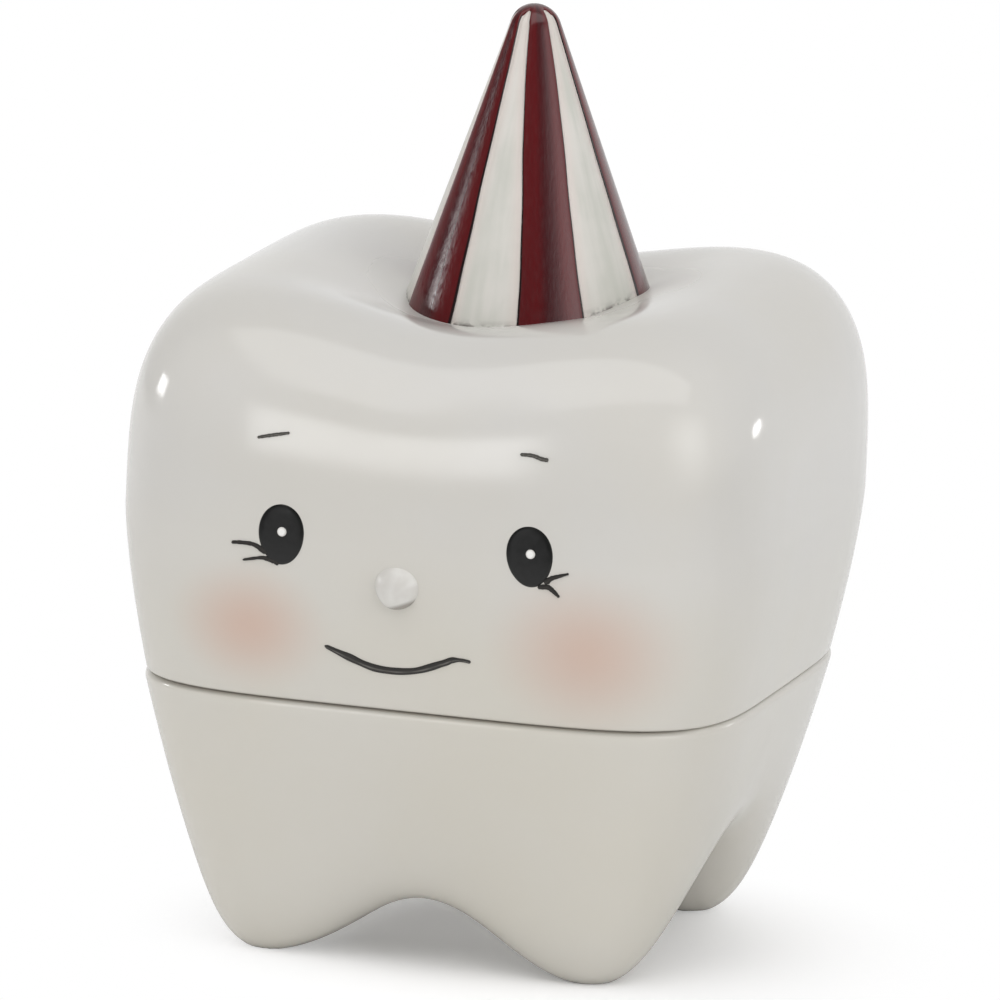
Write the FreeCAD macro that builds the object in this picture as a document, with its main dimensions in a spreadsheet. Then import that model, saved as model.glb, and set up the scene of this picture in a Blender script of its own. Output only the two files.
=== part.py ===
"""Keepsake box in the shape of a molar with a party hat: a crown that lifts off a base with four roots.

Millimetres, +Z up. The origin is on the floor under the middle of the box, and the face looks towards -Y.
"""
import FreeCAD, Part
import Sketcher
import math
import os

doc = FreeCAD.newDocument("tooth_box")

# Driving dimensions in millimetres, with angles in degrees and powers and shares as plain numbers
SIZES = (
    ("crown_width", 70.0, "crown from side to side at its widest level"),
    ("crown_depth", 70.0, "crown from front to back at its widest level"),
    ("plan_power", 4.9, "squareness of the plan, where 2 is an ellipse"),
    ("seam_height", 29.5, "floor to the seam between base and lid"),
    ("widest_rise", 17.8, "seam to the widest level of the crown"),
    ("neck_inset", 2.6, "how far the crown draws in from its widest level down to the seam"),
    ("neck_power", 1.4, "curve of that draw-in"),
    ("lobe_rise", 27.6, "widest level to the full height of the lobes"),
    ("shoulder_power", 3.6, "fullness of the shoulders"),
    ("groove_depth", 3.3, "depth of the groove between the left and right lobes"),
    ("groove_width", 13.8, "half width of that groove"),
    ("dip_depth", 5.7, "depth of the dip in the middle of the crown"),
    ("back_rise", 0.8, "how much higher the lobes stand at the back"),
    ("rim_round", 0.8, "rounding of the base's edge at the seam"),
    ("lid_rim_round", 0.4, "rounding of the crown's edge at the seam"),
    ("base_overhang", 0.3, "how far the rim of the base stands out past the lid"),
    ("root_taper", 6.9, "straight part of the roots' draw-in from the sides"),
    ("root_taper_depth", 5.2, "straight part of the roots' draw-in from the front and the back"),
    ("root_curl", 1.6, "curved part of the roots' draw-in"),
    ("root_shift", 0.6, "how far the root tips stand back of the seam's middle"),
    ("flute_share", 0.21, "hollow between two roots, as a share of the half width"),
    ("front_arch", 7.6, "height of the arches in the front and the back"),
    ("side_arch", 12.6, "height of the arches in the sides"),
    ("tip_round", 3.8, "rounding of the roots' lower edge, measured inwards"),
    ("tip_power", 12.0, "how late that rounding starts"),
    ("foot_trim", 0.4, "height sanded off the root tips"),
    ("vault_height", 13.0, "height of the vault between the roots"),
    ("vault_radius", 6.0, "radius of the flat middle of the vault"),
    ("base_wall", 6.0, "wall of the base at the seam"),
    ("base_floor", 4.0, "floor of the well above the vault"),
    ("well_corner", 10.0, "corner radius of the well"),
    ("well_round", 5.0, "rounding of the well at its floor"),
    ("lip_height", 3.0, "how far the lip of the lid reaches into the well"),
    ("lip_wall", 2.2, "thickness of the lip"),
    ("lip_clearance", 0.3, "gap between the lip and the well"),
    ("lip_round", 0.6, "rounding of the lip's lower edge"),
    ("lid_roof", 4.0, "material between the hat's socket and the hollow of the lid"),
    ("hollow_round", 6.0, "rounding of the hollow under the roof of the lid"),
    ("hat_height", 33.4, "dip of the crown to the tip of the hat"),
    ("hat_foot", 14.2, "radius of the hat's cone where it is sunk deepest"),
    ("hat_sink", 1.0, "how far the cone would reach below the dip"),
    ("hat_tip", 2.7, "radius of the hat's round tip"),
    ("hat_right", 1.9, "hat to the right of the middle"),
    ("hat_back", 1.3, "hat behind the middle"),
    ("hat_lean", 1.4, "lean of the hat to the left, in degrees"),
    ("spigot_radius", 6.0, "round spigot under the hat"),
    ("spigot_depth", 4.0, "how far the spigot reaches into the crown"),
    ("glue_gap", 0.1, "room for glue around the spigot and the nose"),
    ("stripe_film", 0.2, "thickness of the panels' enamel"),
    ("stripe_cap", 1.9, "height of the dark cap on the tip"),
    ("paint_film", 0.2, "thickness of the face's enamel"),
    ("glint_film", 0.15, "thickness of the white dots on the eyes"),
    ("face_shift", 0.2, "face to the right of the middle"),
    ("eye_spread", 13.43, "middle of the face to the middle of an eye"),
    ("eye_rise", 18.05, "seam to the middle of the eyes"),
    ("eye_step", 0.15, "left eye this much lower and right eye this much higher"),
    ("eye_half_width", 2.47, "half width of an eye"),
    ("eye_half_height", 3.2, "half height of an eye"),
    ("glint_radius", 0.5, "radius of the white dots"),
    ("glint_rise", 0.35, "white dots above the middle of the eyes"),
    ("stroke_width", 0.55, "widest place of the lash and brow strokes"),
    ("mouth_width", 0.8, "widest place of the mouth stroke"),
    ("nose_left", 0.3, "nose to the left of the middle"),
    ("nose_rise", 13.6, "seam to the middle of the nose"),
    ("nose_half_width", 2.1, "half width of the nose bead"),
    ("nose_half_height", 2.5, "half height of the nose bead"),
    ("nose_sunk", 0.5, "middle of the bead behind the crown's face"),
)

# Centre lines of the painted strokes: across from the middle of the face, and up from the seam
LEFT_LASHES = (
    ((-15.0, 15.9), (-16.8, 16.6), (-18.8, 16.5)),
    ((-14.4, 15.1), (-15.9, 15.2), (-17.6, 14.8)),
)
RIGHT_LASHES = (
    ((15.2, 15.7), (16.5, 16.5), (17.6, 16.8)),
    ((14.9, 15.3), (15.7, 15.1), (16.7, 14.25)),
)
BROWS = (
    ((-16.5, 27.8), (-14.9, 28.2), (-13.1, 28.6)),
    ((11.8, 28.75), (13.2, 28.75), (14.8, 28.4)),
)
MOUTH = ((-8.55, 6.4), (-4.55, 4.9), (-1.0, 4.45), (2.5, 5.05), (5.2, 6.25), (7.2, 6.25))

# Dark panels of the hat, which are set by hand: direction of the middle from +X and angle taken up, in degrees
STRIPES = ((-128.6, 36.8), (-63.0, 32.6), (8.4, 35.0), (82.7, 36.0), (157.0, 36.0))

# How finely the curved skins and strokes are laid out
RING_POINTS = 60
RIM_STEPS = 3
LID_RIM_START = 0.0
BASE_RIM_START = 20.0
NECK_STEPS = 5
TOP_STEPS = 14
TOP_BUNCHING = 1.5
TOP_END_SHARE = 0.12
ROOT_STEPS = 14
VAULT_STEPS = 8
STROKE_STEPS = 12
CUT_OVER = 1.0
LEVEL_TOLERANCE = 0.001
ROUND_LIMIT = 0.95
SKETCH_START = 9.0

sheet = doc.addObject("Spreadsheet::Sheet", "Sizes")
for row, (alias, value, meaning) in enumerate(SIZES, start=1):
    sheet.set(f"A{row}", meaning)
    sheet.set(f"B{row}", str(value))
    sheet.setAlias(f"B{row}", alias)
doc.recompute()


def size(alias):
    """Number in the sheet's cell of this name."""
    return float(getattr(sheet, alias))


WIDEST_HEIGHT = size("seam_height") + size("widest_rise")
DIP_HEIGHT = WIDEST_HEIGHT + size("lobe_rise") - size("groove_depth") - size("dip_depth")
DIP_CELL = "(Sizes.seam_height + Sizes.widest_rise + Sizes.lobe_rise - Sizes.groove_depth - Sizes.dip_depth)"


def smooth_step(share):
    """Rise from 0 to 1 that starts and ends level and without a kink in its curvature."""
    share = min(max(share, 0.0), 1.0)
    return share ** 3 * (10 - 15 * share + 6 * share ** 2)


def ring_angles():
    """Even angles once round the vertical axis."""
    return [2 * math.pi * step / RING_POINTS for step in range(RING_POINTS)]


def plan_direction(angle):
    """Point of the plan's superellipse of half-size 1 in this direction."""
    power = size("plan_power")
    reach = (abs(math.cos(angle)) ** power + abs(math.sin(angle)) ** power) ** (-1 / power)
    return reach * math.cos(angle), reach * math.sin(angle)


def closed_wire(points):
    """Smooth closed wire through points that lie at the ring angles."""
    curve = Part.BSplineCurve()
    knots = [float(step) for step in range(len(points) + 1)]
    curve.interpolate(Points=points, PeriodicFlag=True, Parameters=knots)
    return Part.Wire([curve.toShape()])


def skin_solid(rings):
    """Solid with a smooth skin through rings of points, closed flat at the first and the last ring."""
    return Part.makeLoft([closed_wire(points) for points in rings], True)


def rim_profile(radius, start):
    """Distance from the seam and inset of each ring that rounds an edge, which leaves the seam at an angle."""
    turns = [math.radians(start + (90 - start) * step / RIM_STEPS) for step in range(RIM_STEPS + 1)]
    return [(radius * (math.cos(turns[0]) - math.cos(turn)), radius * (1 - math.sin(turn))) for turn in turns]


def wall_inset(height):
    """How far the crown's wall stands inside its widest level, at a height below that level."""
    low = (WIDEST_HEIGHT - height) / size("widest_rise")
    return size("neck_inset") * max(low, 0.0) ** size("neck_power")


def wall_ring(height, inset):
    """Level ring of the crown, drawn in by an inset all round."""
    half_width = size("crown_width") / 2 - inset
    half_depth = size("crown_depth") / 2 - inset
    points = []
    for angle in ring_angles():
        across, back = plan_direction(angle)
        points.append(FreeCAD.Vector(half_width * across, half_depth * back, height))
    return points


def top_rise(share, x, y):
    """Height that the crown's top aims at: lobes, less the groove along Y and the dip in the middle."""
    groove = size("groove_depth") * math.exp(-((x / size("groove_width")) ** 2))
    dip = size("dip_depth") * (1 - smooth_step(share))
    tilt = size("back_rise") * y / (size("crown_depth") / 2)
    return size("lobe_rise") + tilt - groove - dip


def top_ring(turn, growth):
    """Ring of the crown's top, where a quarter turn leads from the widest level to the middle."""
    power = size("shoulder_power")
    share = math.cos(turn) ** (2 / power)
    lift = math.sin(turn) ** (2 / power)
    points = wall_ring(WIDEST_HEIGHT, -growth)
    for point in points:
        point.x *= share
        point.y *= share
        point.z += top_rise(share, point.x, point.y) * lift
    return points


def crown_skin_shape(growth):
    """Crown from the seam up to a small flat ring under the hat, grown sideways by a paint film."""
    rings = []
    for distance, inset in rim_profile(size("lid_rim_round"), LID_RIM_START):
        height = size("seam_height") + distance
        rings.append(wall_ring(height, wall_inset(height) + inset - growth))
    for step in range(1, NECK_STEPS + 1):
        height = size("seam_height") + size("widest_rise") * step / NECK_STEPS
        rings.append(wall_ring(height, wall_inset(height) - growth))
    last_turn = math.acos(TOP_END_SHARE ** (size("shoulder_power") / 2))
    for step in range(1, TOP_STEPS + 1):
        rings.append(top_ring(last_turn * (step / TOP_STEPS) ** TOP_BUNCHING, growth))
    level = sum(point.z for point in rings[-1]) / RING_POINTS
    rings[-1] = [FreeCAD.Vector(point.x, point.y, level) for point in rings[-1]]
    return skin_solid(rings)


def root_edge_height(angle):
    """Height of the base's lower edge: arches in the four faces, root tips in the four corners."""
    corner = math.sin(2 * angle) ** 2
    arch = size("front_arch") * math.sin(angle) ** 2 + size("side_arch") * math.cos(angle) ** 2
    return arch * (1 - corner) - size("foot_trim")


def root_point(angle, height, tip_share):
    """Point of the base's outer wall: tapered, fluted between the roots and rounded at its lower edge."""
    drop = (size("seam_height") - height) / size("seam_height")
    corner = math.sin(2 * angle) ** 2
    inset = size("neck_inset") - size("base_overhang") + size("root_curl") * drop ** 2
    half_width = size("crown_width") / 2 - inset - size("root_taper") * drop
    half_depth = size("crown_depth") / 2 - inset - size("root_taper_depth") * drop
    flute = 1 - size("flute_share") * drop ** 2 * (1 - corner)
    tip = size("tip_round") * (1 - math.sqrt(1 - tip_share ** size("tip_power")))
    across, back = plan_direction(angle)
    x = half_width * flute * across - tip * math.cos(angle)
    y = half_depth * flute * back - tip * math.sin(angle) + size("root_shift") * drop
    return FreeCAD.Vector(x, y, height)


def base_skin_shape():
    """Base from the seam down its wall, round the lower edge and up under the vault."""
    rings = []
    for distance, inset in rim_profile(size("rim_round"), BASE_RIM_START):
        height = size("seam_height") - distance
        ring = [root_point(angle, height, 0.0) for angle in ring_angles()]
        for point, angle in zip(ring, ring_angles()):
            point.x -= inset * math.cos(angle)
            point.y -= inset * math.sin(angle)
        rings.append(ring)
    for step in range(1, ROOT_STEPS + 1):
        share = 1 - (1 - step / ROOT_STEPS) ** 2
        ring = []
        for angle in ring_angles():
            span = size("seam_height") - root_edge_height(angle)
            ring.append(root_point(angle, size("seam_height") - span * share, share))
        rings.append(ring)
    edge = rings[-1]
    for step in range(1, VAULT_STEPS + 1):
        share = step / VAULT_STEPS
        ring = []
        for point, angle in zip(edge, ring_angles()):
            x = point.x + (size("vault_radius") * math.cos(angle) - point.x) * share
            y = point.y + (size("vault_radius") * math.sin(angle) - point.y) * share
            z = point.z + (size("vault_height") - point.z) * smooth_step(share)
            ring.append(FreeCAD.Vector(x, y, z))
        rings.append(ring)
    return skin_solid(rings)


def shape_object(label, shape):
    """Object that holds a worked-out shape."""
    item = doc.addObject("Part::Feature", label)
    item.Shape = shape
    return item


def joined(kind, label, base, tool):
    """Boolean of two objects: Part::Cut, Part::Common or Part::Fuse."""
    item = doc.addObject(kind, label)
    item.Base = base
    item.Tool = tool
    return item


def fused(label, items):
    """One object from several that touch or stand apart."""
    item = doc.addObject("Part::MultiFuse", label)
    item.Shapes = items
    return item


def bind(item, **cells):
    """Tie properties to expressions on the sheet."""
    for name, expression in cells.items():
        item.setExpression(name.replace("__", "."), expression)


def origin_plane(body, role):
    """Plane of a body's own origin."""
    return next(plane for plane in body.Origin.OriginFeatures if plane.Role == role)


def rounded_block(label, half_width, half_depth, corner, bottom, height, round_off, rounded_end):
    """Block with rounded upright edges, and one rounded end: 'top' or 'bottom'. Sizes are expressions."""
    body = doc.addObject("PartDesign::Body", label)
    sketch = body.newObject("Sketcher::SketchObject", label + "_plan")
    sketch.AttachmentSupport = (origin_plane(body, "XY_Plane"), [""])
    sketch.MapMode = "FlatFace"
    start = SKETCH_START
    signs = ((-1, -1), (1, -1), (1, 1), (-1, 1))
    corners = [FreeCAD.Vector(x * start, y * start, 0) for x, y in signs]
    for index in range(4):
        sketch.addGeometry(Part.LineSegment(corners[index], corners[(index + 1) % 4]))
    for index in range(4):
        sketch.addConstraint(Sketcher.Constraint("Coincident", index, 2, (index + 1) % 4, 1))
    for index, direction in enumerate(("Horizontal", "Vertical", "Horizontal", "Vertical")):
        sketch.addConstraint(Sketcher.Constraint(direction, index))
    sketch.addConstraint(Sketcher.Constraint("Symmetric", 0, 1, 1, 2, -1, 1))
    wide = sketch.addConstraint(Sketcher.Constraint("DistanceX", 0, 1, 0, 2, 2 * start))
    deep = sketch.addConstraint(Sketcher.Constraint("DistanceY", 1, 1, 1, 2, 2 * start))
    sketch.setExpression(f"Constraints[{wide}]", f"2 * ({half_width})")
    sketch.setExpression(f"Constraints[{deep}]", f"2 * ({half_depth})")
    pad = body.newObject("PartDesign::Pad", label + "_pad")
    pad.Profile = sketch
    bind(pad, Length=height)
    doc.recompute()
    upright = body.newObject("PartDesign::Fillet", label + "_corners")
    upright.Base = (pad, edge_names(pad.Shape, lambda low, high: high - low > LEVEL_TOLERANCE))
    bind(upright, Radius=corner)
    doc.recompute()
    box = upright.Shape.BoundBox
    level = box.ZMax if rounded_end == "top" else box.ZMin
    end = body.newObject("PartDesign::Fillet", label + "_round")
    at_level = edge_names(upright.Shape, lambda low, high: max(high - level, level - low) < LEVEL_TOLERANCE)
    end.Base = (upright, at_level)
    bind(end, Radius=round_off)
    body.Tip = end
    bind(body, Placement__Base__z=bottom)
    doc.recompute()
    return body


def edge_names(shape, wanted):
    """Names of the edges whose lowest and highest levels are wanted."""
    names = []
    for index, edge in enumerate(shape.Edges, start=1):
        if wanted(edge.BoundBox.ZMin, edge.BoundBox.ZMax):
            names.append(f"Edge{index}")
    return names


# Skins: the crown alone, and the crown grown by one and by two films of paint
crown_skin = shape_object("crown_skin", crown_skin_shape(0.0))
paint_skin = shape_object("paint_skin", crown_skin_shape(size("paint_film")))
glint_skin = shape_object("glint_skin", crown_skin_shape(size("paint_film") + size("glint_film")))
base_skin = shape_object("base_skin", base_skin_shape())

# Base: a well inside, and the root tips sanded flat on the floor
WELL_WIDE = "Sizes.crown_width / 2 - Sizes.neck_inset - Sizes.base_wall"
WELL_DEEP = "Sizes.crown_depth / 2 - Sizes.neck_inset - Sizes.base_wall"
WELL_FLOOR = "Sizes.vault_height + Sizes.base_floor"
base_well = rounded_block(
    "base_well", WELL_WIDE, WELL_DEEP, "Sizes.well_corner", WELL_FLOOR,
    f"Sizes.seam_height - ({WELL_FLOOR}) + {CUT_OVER}", "Sizes.well_round", "bottom")
sanding_block = doc.addObject("Part::Box", "sanding_block")
bind(sanding_block, Length="2 * Sizes.crown_width", Width="2 * Sizes.crown_depth", Height="Sizes.seam_height")
bind(sanding_block, Placement__Base__x="-Sizes.crown_width", Placement__Base__y="-Sizes.crown_depth",
     Placement__Base__z="-Sizes.seam_height")
base_cuts = fused("base_cuts", [base_well, sanding_block])
root_base = joined("Part::Cut", "root_base", base_skin, base_cuts)

# Lid: the crown with a lip below the seam, hollow from the lip up to the roof under the hat
LIP_WIDE = f"{WELL_WIDE} - Sizes.lip_clearance"
LIP_DEEP = f"{WELL_DEEP} - Sizes.lip_clearance"
LIP_CORNER = "Sizes.well_corner - Sizes.lip_clearance"
LIP_BOTTOM = "Sizes.seam_height - Sizes.lip_height"
HOLLOW_CORNER = f"({LIP_CORNER} - Sizes.lip_wall)"
HOLLOW_TOP = f"{DIP_CELL} - Sizes.spigot_depth - Sizes.lid_roof"
lip_block = rounded_block(
    "lip_block", LIP_WIDE, LIP_DEEP, LIP_CORNER, LIP_BOTTOM,
    f"Sizes.lip_height + {CUT_OVER}", "Sizes.lip_round", "bottom")
lid_hollow = rounded_block(
    "lid_hollow", f"{LIP_WIDE} - Sizes.lip_wall", f"{LIP_DEEP} - Sizes.lip_wall", HOLLOW_CORNER,
    f"{LIP_BOTTOM} - {CUT_OVER}", f"{HOLLOW_TOP} - ({LIP_BOTTOM}) + {CUT_OVER}",
    f"min(Sizes.hollow_round; {HOLLOW_CORNER} * {ROUND_LIMIT})", "top")

# Hat: every piece of it stands on the dip of the crown, turned by the hat's lean
hat_seat = FreeCAD.Placement(
    FreeCAD.Vector(size("hat_right"), size("hat_back"), DIP_HEIGHT),
    FreeCAD.Rotation(FreeCAD.Vector(0, 1, 0), -size("hat_lean")))


def flank_angle():
    """Angle of the cone's flank from its axis: the tangent from the foot to the round tip."""
    rise = size("hat_height") - size("hat_tip") + size("hat_sink")
    slant = math.hypot(size("hat_foot"), rise)
    return math.atan2(size("hat_foot"), rise) - math.asin(size("hat_tip") / slant)


def hat_cone(label, film):
    """Cone with a round tip, turned from a half profile that is grown by a film of enamel."""
    body = doc.addObject("PartDesign::Body", label)
    sketch = body.newObject("Sketcher::SketchObject", label + "_profile")
    sketch.AttachmentSupport = (origin_plane(body, "XZ_Plane"), [""])
    sketch.MapMode = "FlatFace"
    radius = size("hat_tip") + film
    foot = size("hat_foot") + film / math.cos(flank_angle())
    top = size("hat_height") + film
    centre = FreeCAD.Vector(0, top - radius, 0)
    tangent = centre + FreeCAD.Vector(math.cos(flank_angle()), math.sin(flank_angle()), 0) * radius
    low_middle = FreeCAD.Vector(0, -size("hat_sink"), 0)
    low_edge = FreeCAD.Vector(foot, -size("hat_sink"), 0)
    sketch.addGeometry(Part.LineSegment(low_middle, low_edge))
    sketch.addGeometry(Part.LineSegment(low_edge, tangent))
    circle = Part.Circle(centre, FreeCAD.Vector(0, 0, 1), radius)
    sketch.addGeometry(Part.ArcOfCircle(circle, flank_angle(), math.pi / 2))
    sketch.addGeometry(Part.LineSegment(FreeCAD.Vector(0, top, 0), low_middle))
    for constraint in (("Coincident", 0, 2, 1, 1), ("Tangent", 1, 2, 2, 1), ("Coincident", 2, 2, 3, 1),
                       ("Coincident", 3, 2, 0, 1), ("Horizontal", 0), ("Vertical", 3),
                       ("PointOnObject", 0, 1, -2), ("PointOnObject", 2, 3, -2)):
        sketch.addConstraint(Sketcher.Constraint(*constraint))
    reach = sketch.addConstraint(Sketcher.Constraint("DistanceX", 0, 1, 0, 2, foot))
    rise = sketch.addConstraint(Sketcher.Constraint("DistanceY", -1, 1, 2, 2, top))
    sink = sketch.addConstraint(Sketcher.Constraint("DistanceY", 0, 1, -1, 1, size("hat_sink")))
    round_tip = sketch.addConstraint(Sketcher.Constraint("Radius", 2, radius))
    sketch.setExpression(f"Constraints[{reach}]", f"Sizes.hat_foot + {film / math.cos(flank_angle())}")
    sketch.setExpression(f"Constraints[{rise}]", f"Sizes.hat_height + {film}")
    sketch.setExpression(f"Constraints[{sink}]", "Sizes.hat_sink")
    sketch.setExpression(f"Constraints[{round_tip}]", f"Sizes.hat_tip + {film}")
    turned = body.newObject("PartDesign::Revolution", label + "_turned")
    turned.Profile = sketch
    turned.ReferenceAxis = (sketch, ["V_Axis"])
    turned.Angle = 360
    body.Tip = turned
    body.Placement = hat_seat
    doc.recompute()
    return body


def hat_cylinder(label, radius, bottom, height):
    """Upright cylinder in the hat's own frame."""
    item = doc.addObject("Part::Cylinder", label)
    bind(item, Radius=radius, Height=height)
    item.Placement = hat_seat.multiply(FreeCAD.Placement(FreeCAD.Vector(0, 0, bottom), FreeCAD.Rotation()))
    return item


cone = hat_cone("cone", 0.0)
enamel_cone = hat_cone("enamel_cone", size("stripe_film"))
spigot = hat_cylinder("spigot", "Sizes.spigot_radius", -size("spigot_depth"), "2 * Sizes.spigot_depth")
socket_radius = "Sizes.spigot_radius + Sizes.glue_gap"
socket_floor = -size("spigot_depth") - size("glue_gap")
socket = hat_cylinder("socket", socket_radius, socket_floor, "3 * Sizes.spigot_depth")
cone_on_crown = joined("Part::Cut", "cone_on_crown", cone, crown_skin)
party_hat = joined("Part::Fuse", "party_hat", cone_on_crown, spigot)

# Dark panels: sectors of the enamel film, joined by a cap on the tip
enamel = joined("Part::Cut", "enamel", enamel_cone, cone)
stripe_cap_zone = hat_cylinder(
    "stripe_cap_zone", "Sizes.hat_foot", size("hat_height") - size("stripe_cap"), "Sizes.hat_height")
stripe_pieces = [joined("Part::Common", "stripe_cap", enamel, stripe_cap_zone)]
for index, (middle, angle) in enumerate(STRIPES):
    label = f"stripe_zone_{index + 1}"
    zone = hat_cylinder(label, "2 * Sizes.hat_foot", -size("hat_height"), "3 * Sizes.hat_height")
    zone.Angle = angle
    turn = FreeCAD.Rotation(FreeCAD.Vector(0, 0, 1), middle - angle / 2)
    zone.Placement = zone.Placement.multiply(FreeCAD.Placement(FreeCAD.Vector(), turn))
    stripe = joined("Part::Common", f"stripe_{index + 1}", enamel, zone)
    stripe_pieces.append(joined("Part::Cut", f"stripe_on_crown_{index + 1}", stripe, crown_skin))
hat_stripes = fused("hat_stripes", stripe_pieces)


# Face: a bead for the nose, and films of enamel on the front of the crown
def nose(label, gap):
    """Egg-shaped bead set into the front of the crown, grown by a gap. Its poles point to front and back."""
    item = doc.addObject("Part::Ellipsoid", label)
    bind(item, Radius1=f"Sizes.nose_half_width + {gap}", Radius2=f"Sizes.nose_half_width + {gap}",
         Radius3=f"Sizes.nose_half_height + {gap}")
    height = size("seam_height") + size("nose_rise")
    front = -(size("crown_depth") / 2 - wall_inset(height) - size("nose_sunk"))
    forward = FreeCAD.Rotation(FreeCAD.Vector(1, 0, 0), 90)
    item.Placement = FreeCAD.Placement(FreeCAD.Vector(-size("nose_left"), front, height), forward)
    return item


nose_bead = nose("nose_bead", 0.0)
nose_socket = nose("nose_socket", size("glue_gap"))
lid_block = joined("Part::Fuse", "lid_block", crown_skin, lip_block)
lid_cuts = fused("lid_cuts", [lid_hollow, socket, nose_socket])
crown_lid = joined("Part::Cut", "crown_lid", lid_block, lid_cuts)

FORWARD = "Sizes.crown_depth / 2 + Sizes.crown_width / 4"


def eye_place(side, rise):
    """Middle of the left (-1) or right (1) eye in the plane y = 0, raised by a distance."""
    x = size("face_shift") + side * size("eye_spread")
    z = size("seam_height") + size("eye_rise") + side * size("eye_step") + rise
    return FreeCAD.Vector(x, 0, z)


def film_on_crown(label, prism, outer, inner):
    """Part of a forward prism that lies between two skins of the crown."""
    trimmed = joined("Part::Common", label + "_film", prism, outer)
    return joined("Part::Cut", label, trimmed, inner)


def eye(label, side):
    """Oval film of enamel."""
    oval = doc.addObject("Part::Ellipse", label + "_oval")
    bind(oval, MajorRadius="Sizes.eye_half_height", MinorRadius="Sizes.eye_half_width")
    long_axis = FreeCAD.Vector(0, 0, 1)
    upright = FreeCAD.Rotation(long_axis, FreeCAD.Vector(1, 0, 0), FreeCAD.Vector(0, -1, 0), "ZXY")
    oval.Placement = FreeCAD.Placement(eye_place(side, 0.0), upright)
    prism = doc.addObject("Part::Extrusion", label + "_prism")
    prism.Base = oval
    prism.DirMode = "Custom"
    prism.Dir = FreeCAD.Vector(0, -1, 0)
    prism.Solid = True
    bind(prism, LengthFwd=FORWARD)
    return film_on_crown(label, prism, paint_skin, crown_skin)


def glint_pin(label, side):
    """Forward pin through the white dot of one eye."""
    pin = doc.addObject("Part::Cylinder", label)
    bind(pin, Radius="Sizes.glint_radius", Height=FORWARD)
    forward = FreeCAD.Rotation(FreeCAD.Vector(0, 0, 1), FreeCAD.Vector(0, -1, 0))
    pin.Placement = FreeCAD.Placement(eye_place(side, size("glint_rise")), forward)
    return pin


def stroke_side(line, half_width, sign):
    """One side of a stroke, which leaves its centre line most in the middle and meets it at both ends."""
    points = []
    first, last = line.FirstParameter, line.LastParameter
    for step in range(STROKE_STEPS + 1):
        share = step / STROKE_STEPS
        place = first + (last - first) * share
        along = line.tangent(place)[0]
        off = FreeCAD.Vector(-along.z, 0, along.x) * (sign * half_width * math.sin(math.pi * share))
        points.append(line.value(place) + off)
    return points


def stroke_prism(centre_points, width):
    """Forward prism of a stroke that is pointed at both ends."""
    line = Part.BSplineCurve()
    place = FreeCAD.Vector(size("face_shift"), 0, size("seam_height"))
    line.interpolate(Points=[place + FreeCAD.Vector(x, 0, z) for x, z in centre_points])
    sides = []
    for sign in (1, -1):
        side = Part.BSplineCurve()
        side.interpolate(Points=stroke_side(line, width / 2, sign))
        sides.append(side.toShape())
    face = Part.Face(Part.Wire(Part.__sortEdges__(sides)))
    return face.extrude(FreeCAD.Vector(0, -size("crown_depth") / 2 - size("crown_width") / 4, 0))


def strokes(label, centre_lines, width):
    """Group of painted strokes on the crown."""
    prisms = [stroke_prism(line, width) for line in centre_lines]
    group = shape_object(label + "_prisms", Part.makeCompound(prisms))
    return film_on_crown(label, group, paint_skin, crown_skin)


eye_left = eye("eye_left", -1)
eye_right = eye("eye_right", 1)
glint_pins = fused("glint_pins", [glint_pin("glint_pin_left", -1), glint_pin("glint_pin_right", 1)])
eye_glints = film_on_crown("eye_glints", glint_pins, glint_skin, paint_skin)
lash_strokes = strokes("lash_strokes", LEFT_LASHES + RIGHT_LASHES, size("stroke_width"))
eyes = fused("eyes", [eye_left, eye_right])
lashes = joined("Part::Cut", "lashes", lash_strokes, eyes)
brows = strokes("brows", BROWS, size("stroke_width"))
mouth = strokes("mouth", (MOUTH,), size("mouth_width"))

doc.recompute()

# Every object has to be sound before any piece is written
PIECES = (
    root_base, crown_lid, party_hat, hat_stripes, nose_bead,
    eye_left, eye_right, eye_glints, lashes, brows, mouth)
for item in doc.Objects:
    if "Invalid" in item.State or "Error" in item.State:
        raise RuntimeError(f"{item.Label} failed: {item.State}")
for piece in PIECES:
    if piece.Shape.isNull() or not piece.Shape.isValid() or not piece.Shape.Solids:
        raise RuntimeError(f"{piece.Label} has no sound solid")

os.makedirs("parts", exist_ok=True)
for piece in PIECES:
    piece.Shape.exportStep(f"parts/{piece.Label}.step")
    box = piece.Shape.BoundBox
    print(f"{piece.Label}: {len(piece.Shape.Solids)} solid(s), {piece.Shape.Volume / 1000:.3f} cm3, "
          f"z {box.ZMin:.2f} to {box.ZMax:.2f}")
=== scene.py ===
# %% [markdown]
# # A keepsake box for baby teeth
#
# The object is a small painted casting: a smiling molar in a party hat. The crown is a lid that lifts off a
# base with four roots, and milk teeth are kept inside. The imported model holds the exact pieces, and this
# lesson gives them their looks. Its meshes are loose triangles, which would show as facets under a glossy
# glaze. So each piece is worked out again here as a smooth surface from the same formula, and stands in for
# its plain twin.

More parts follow.
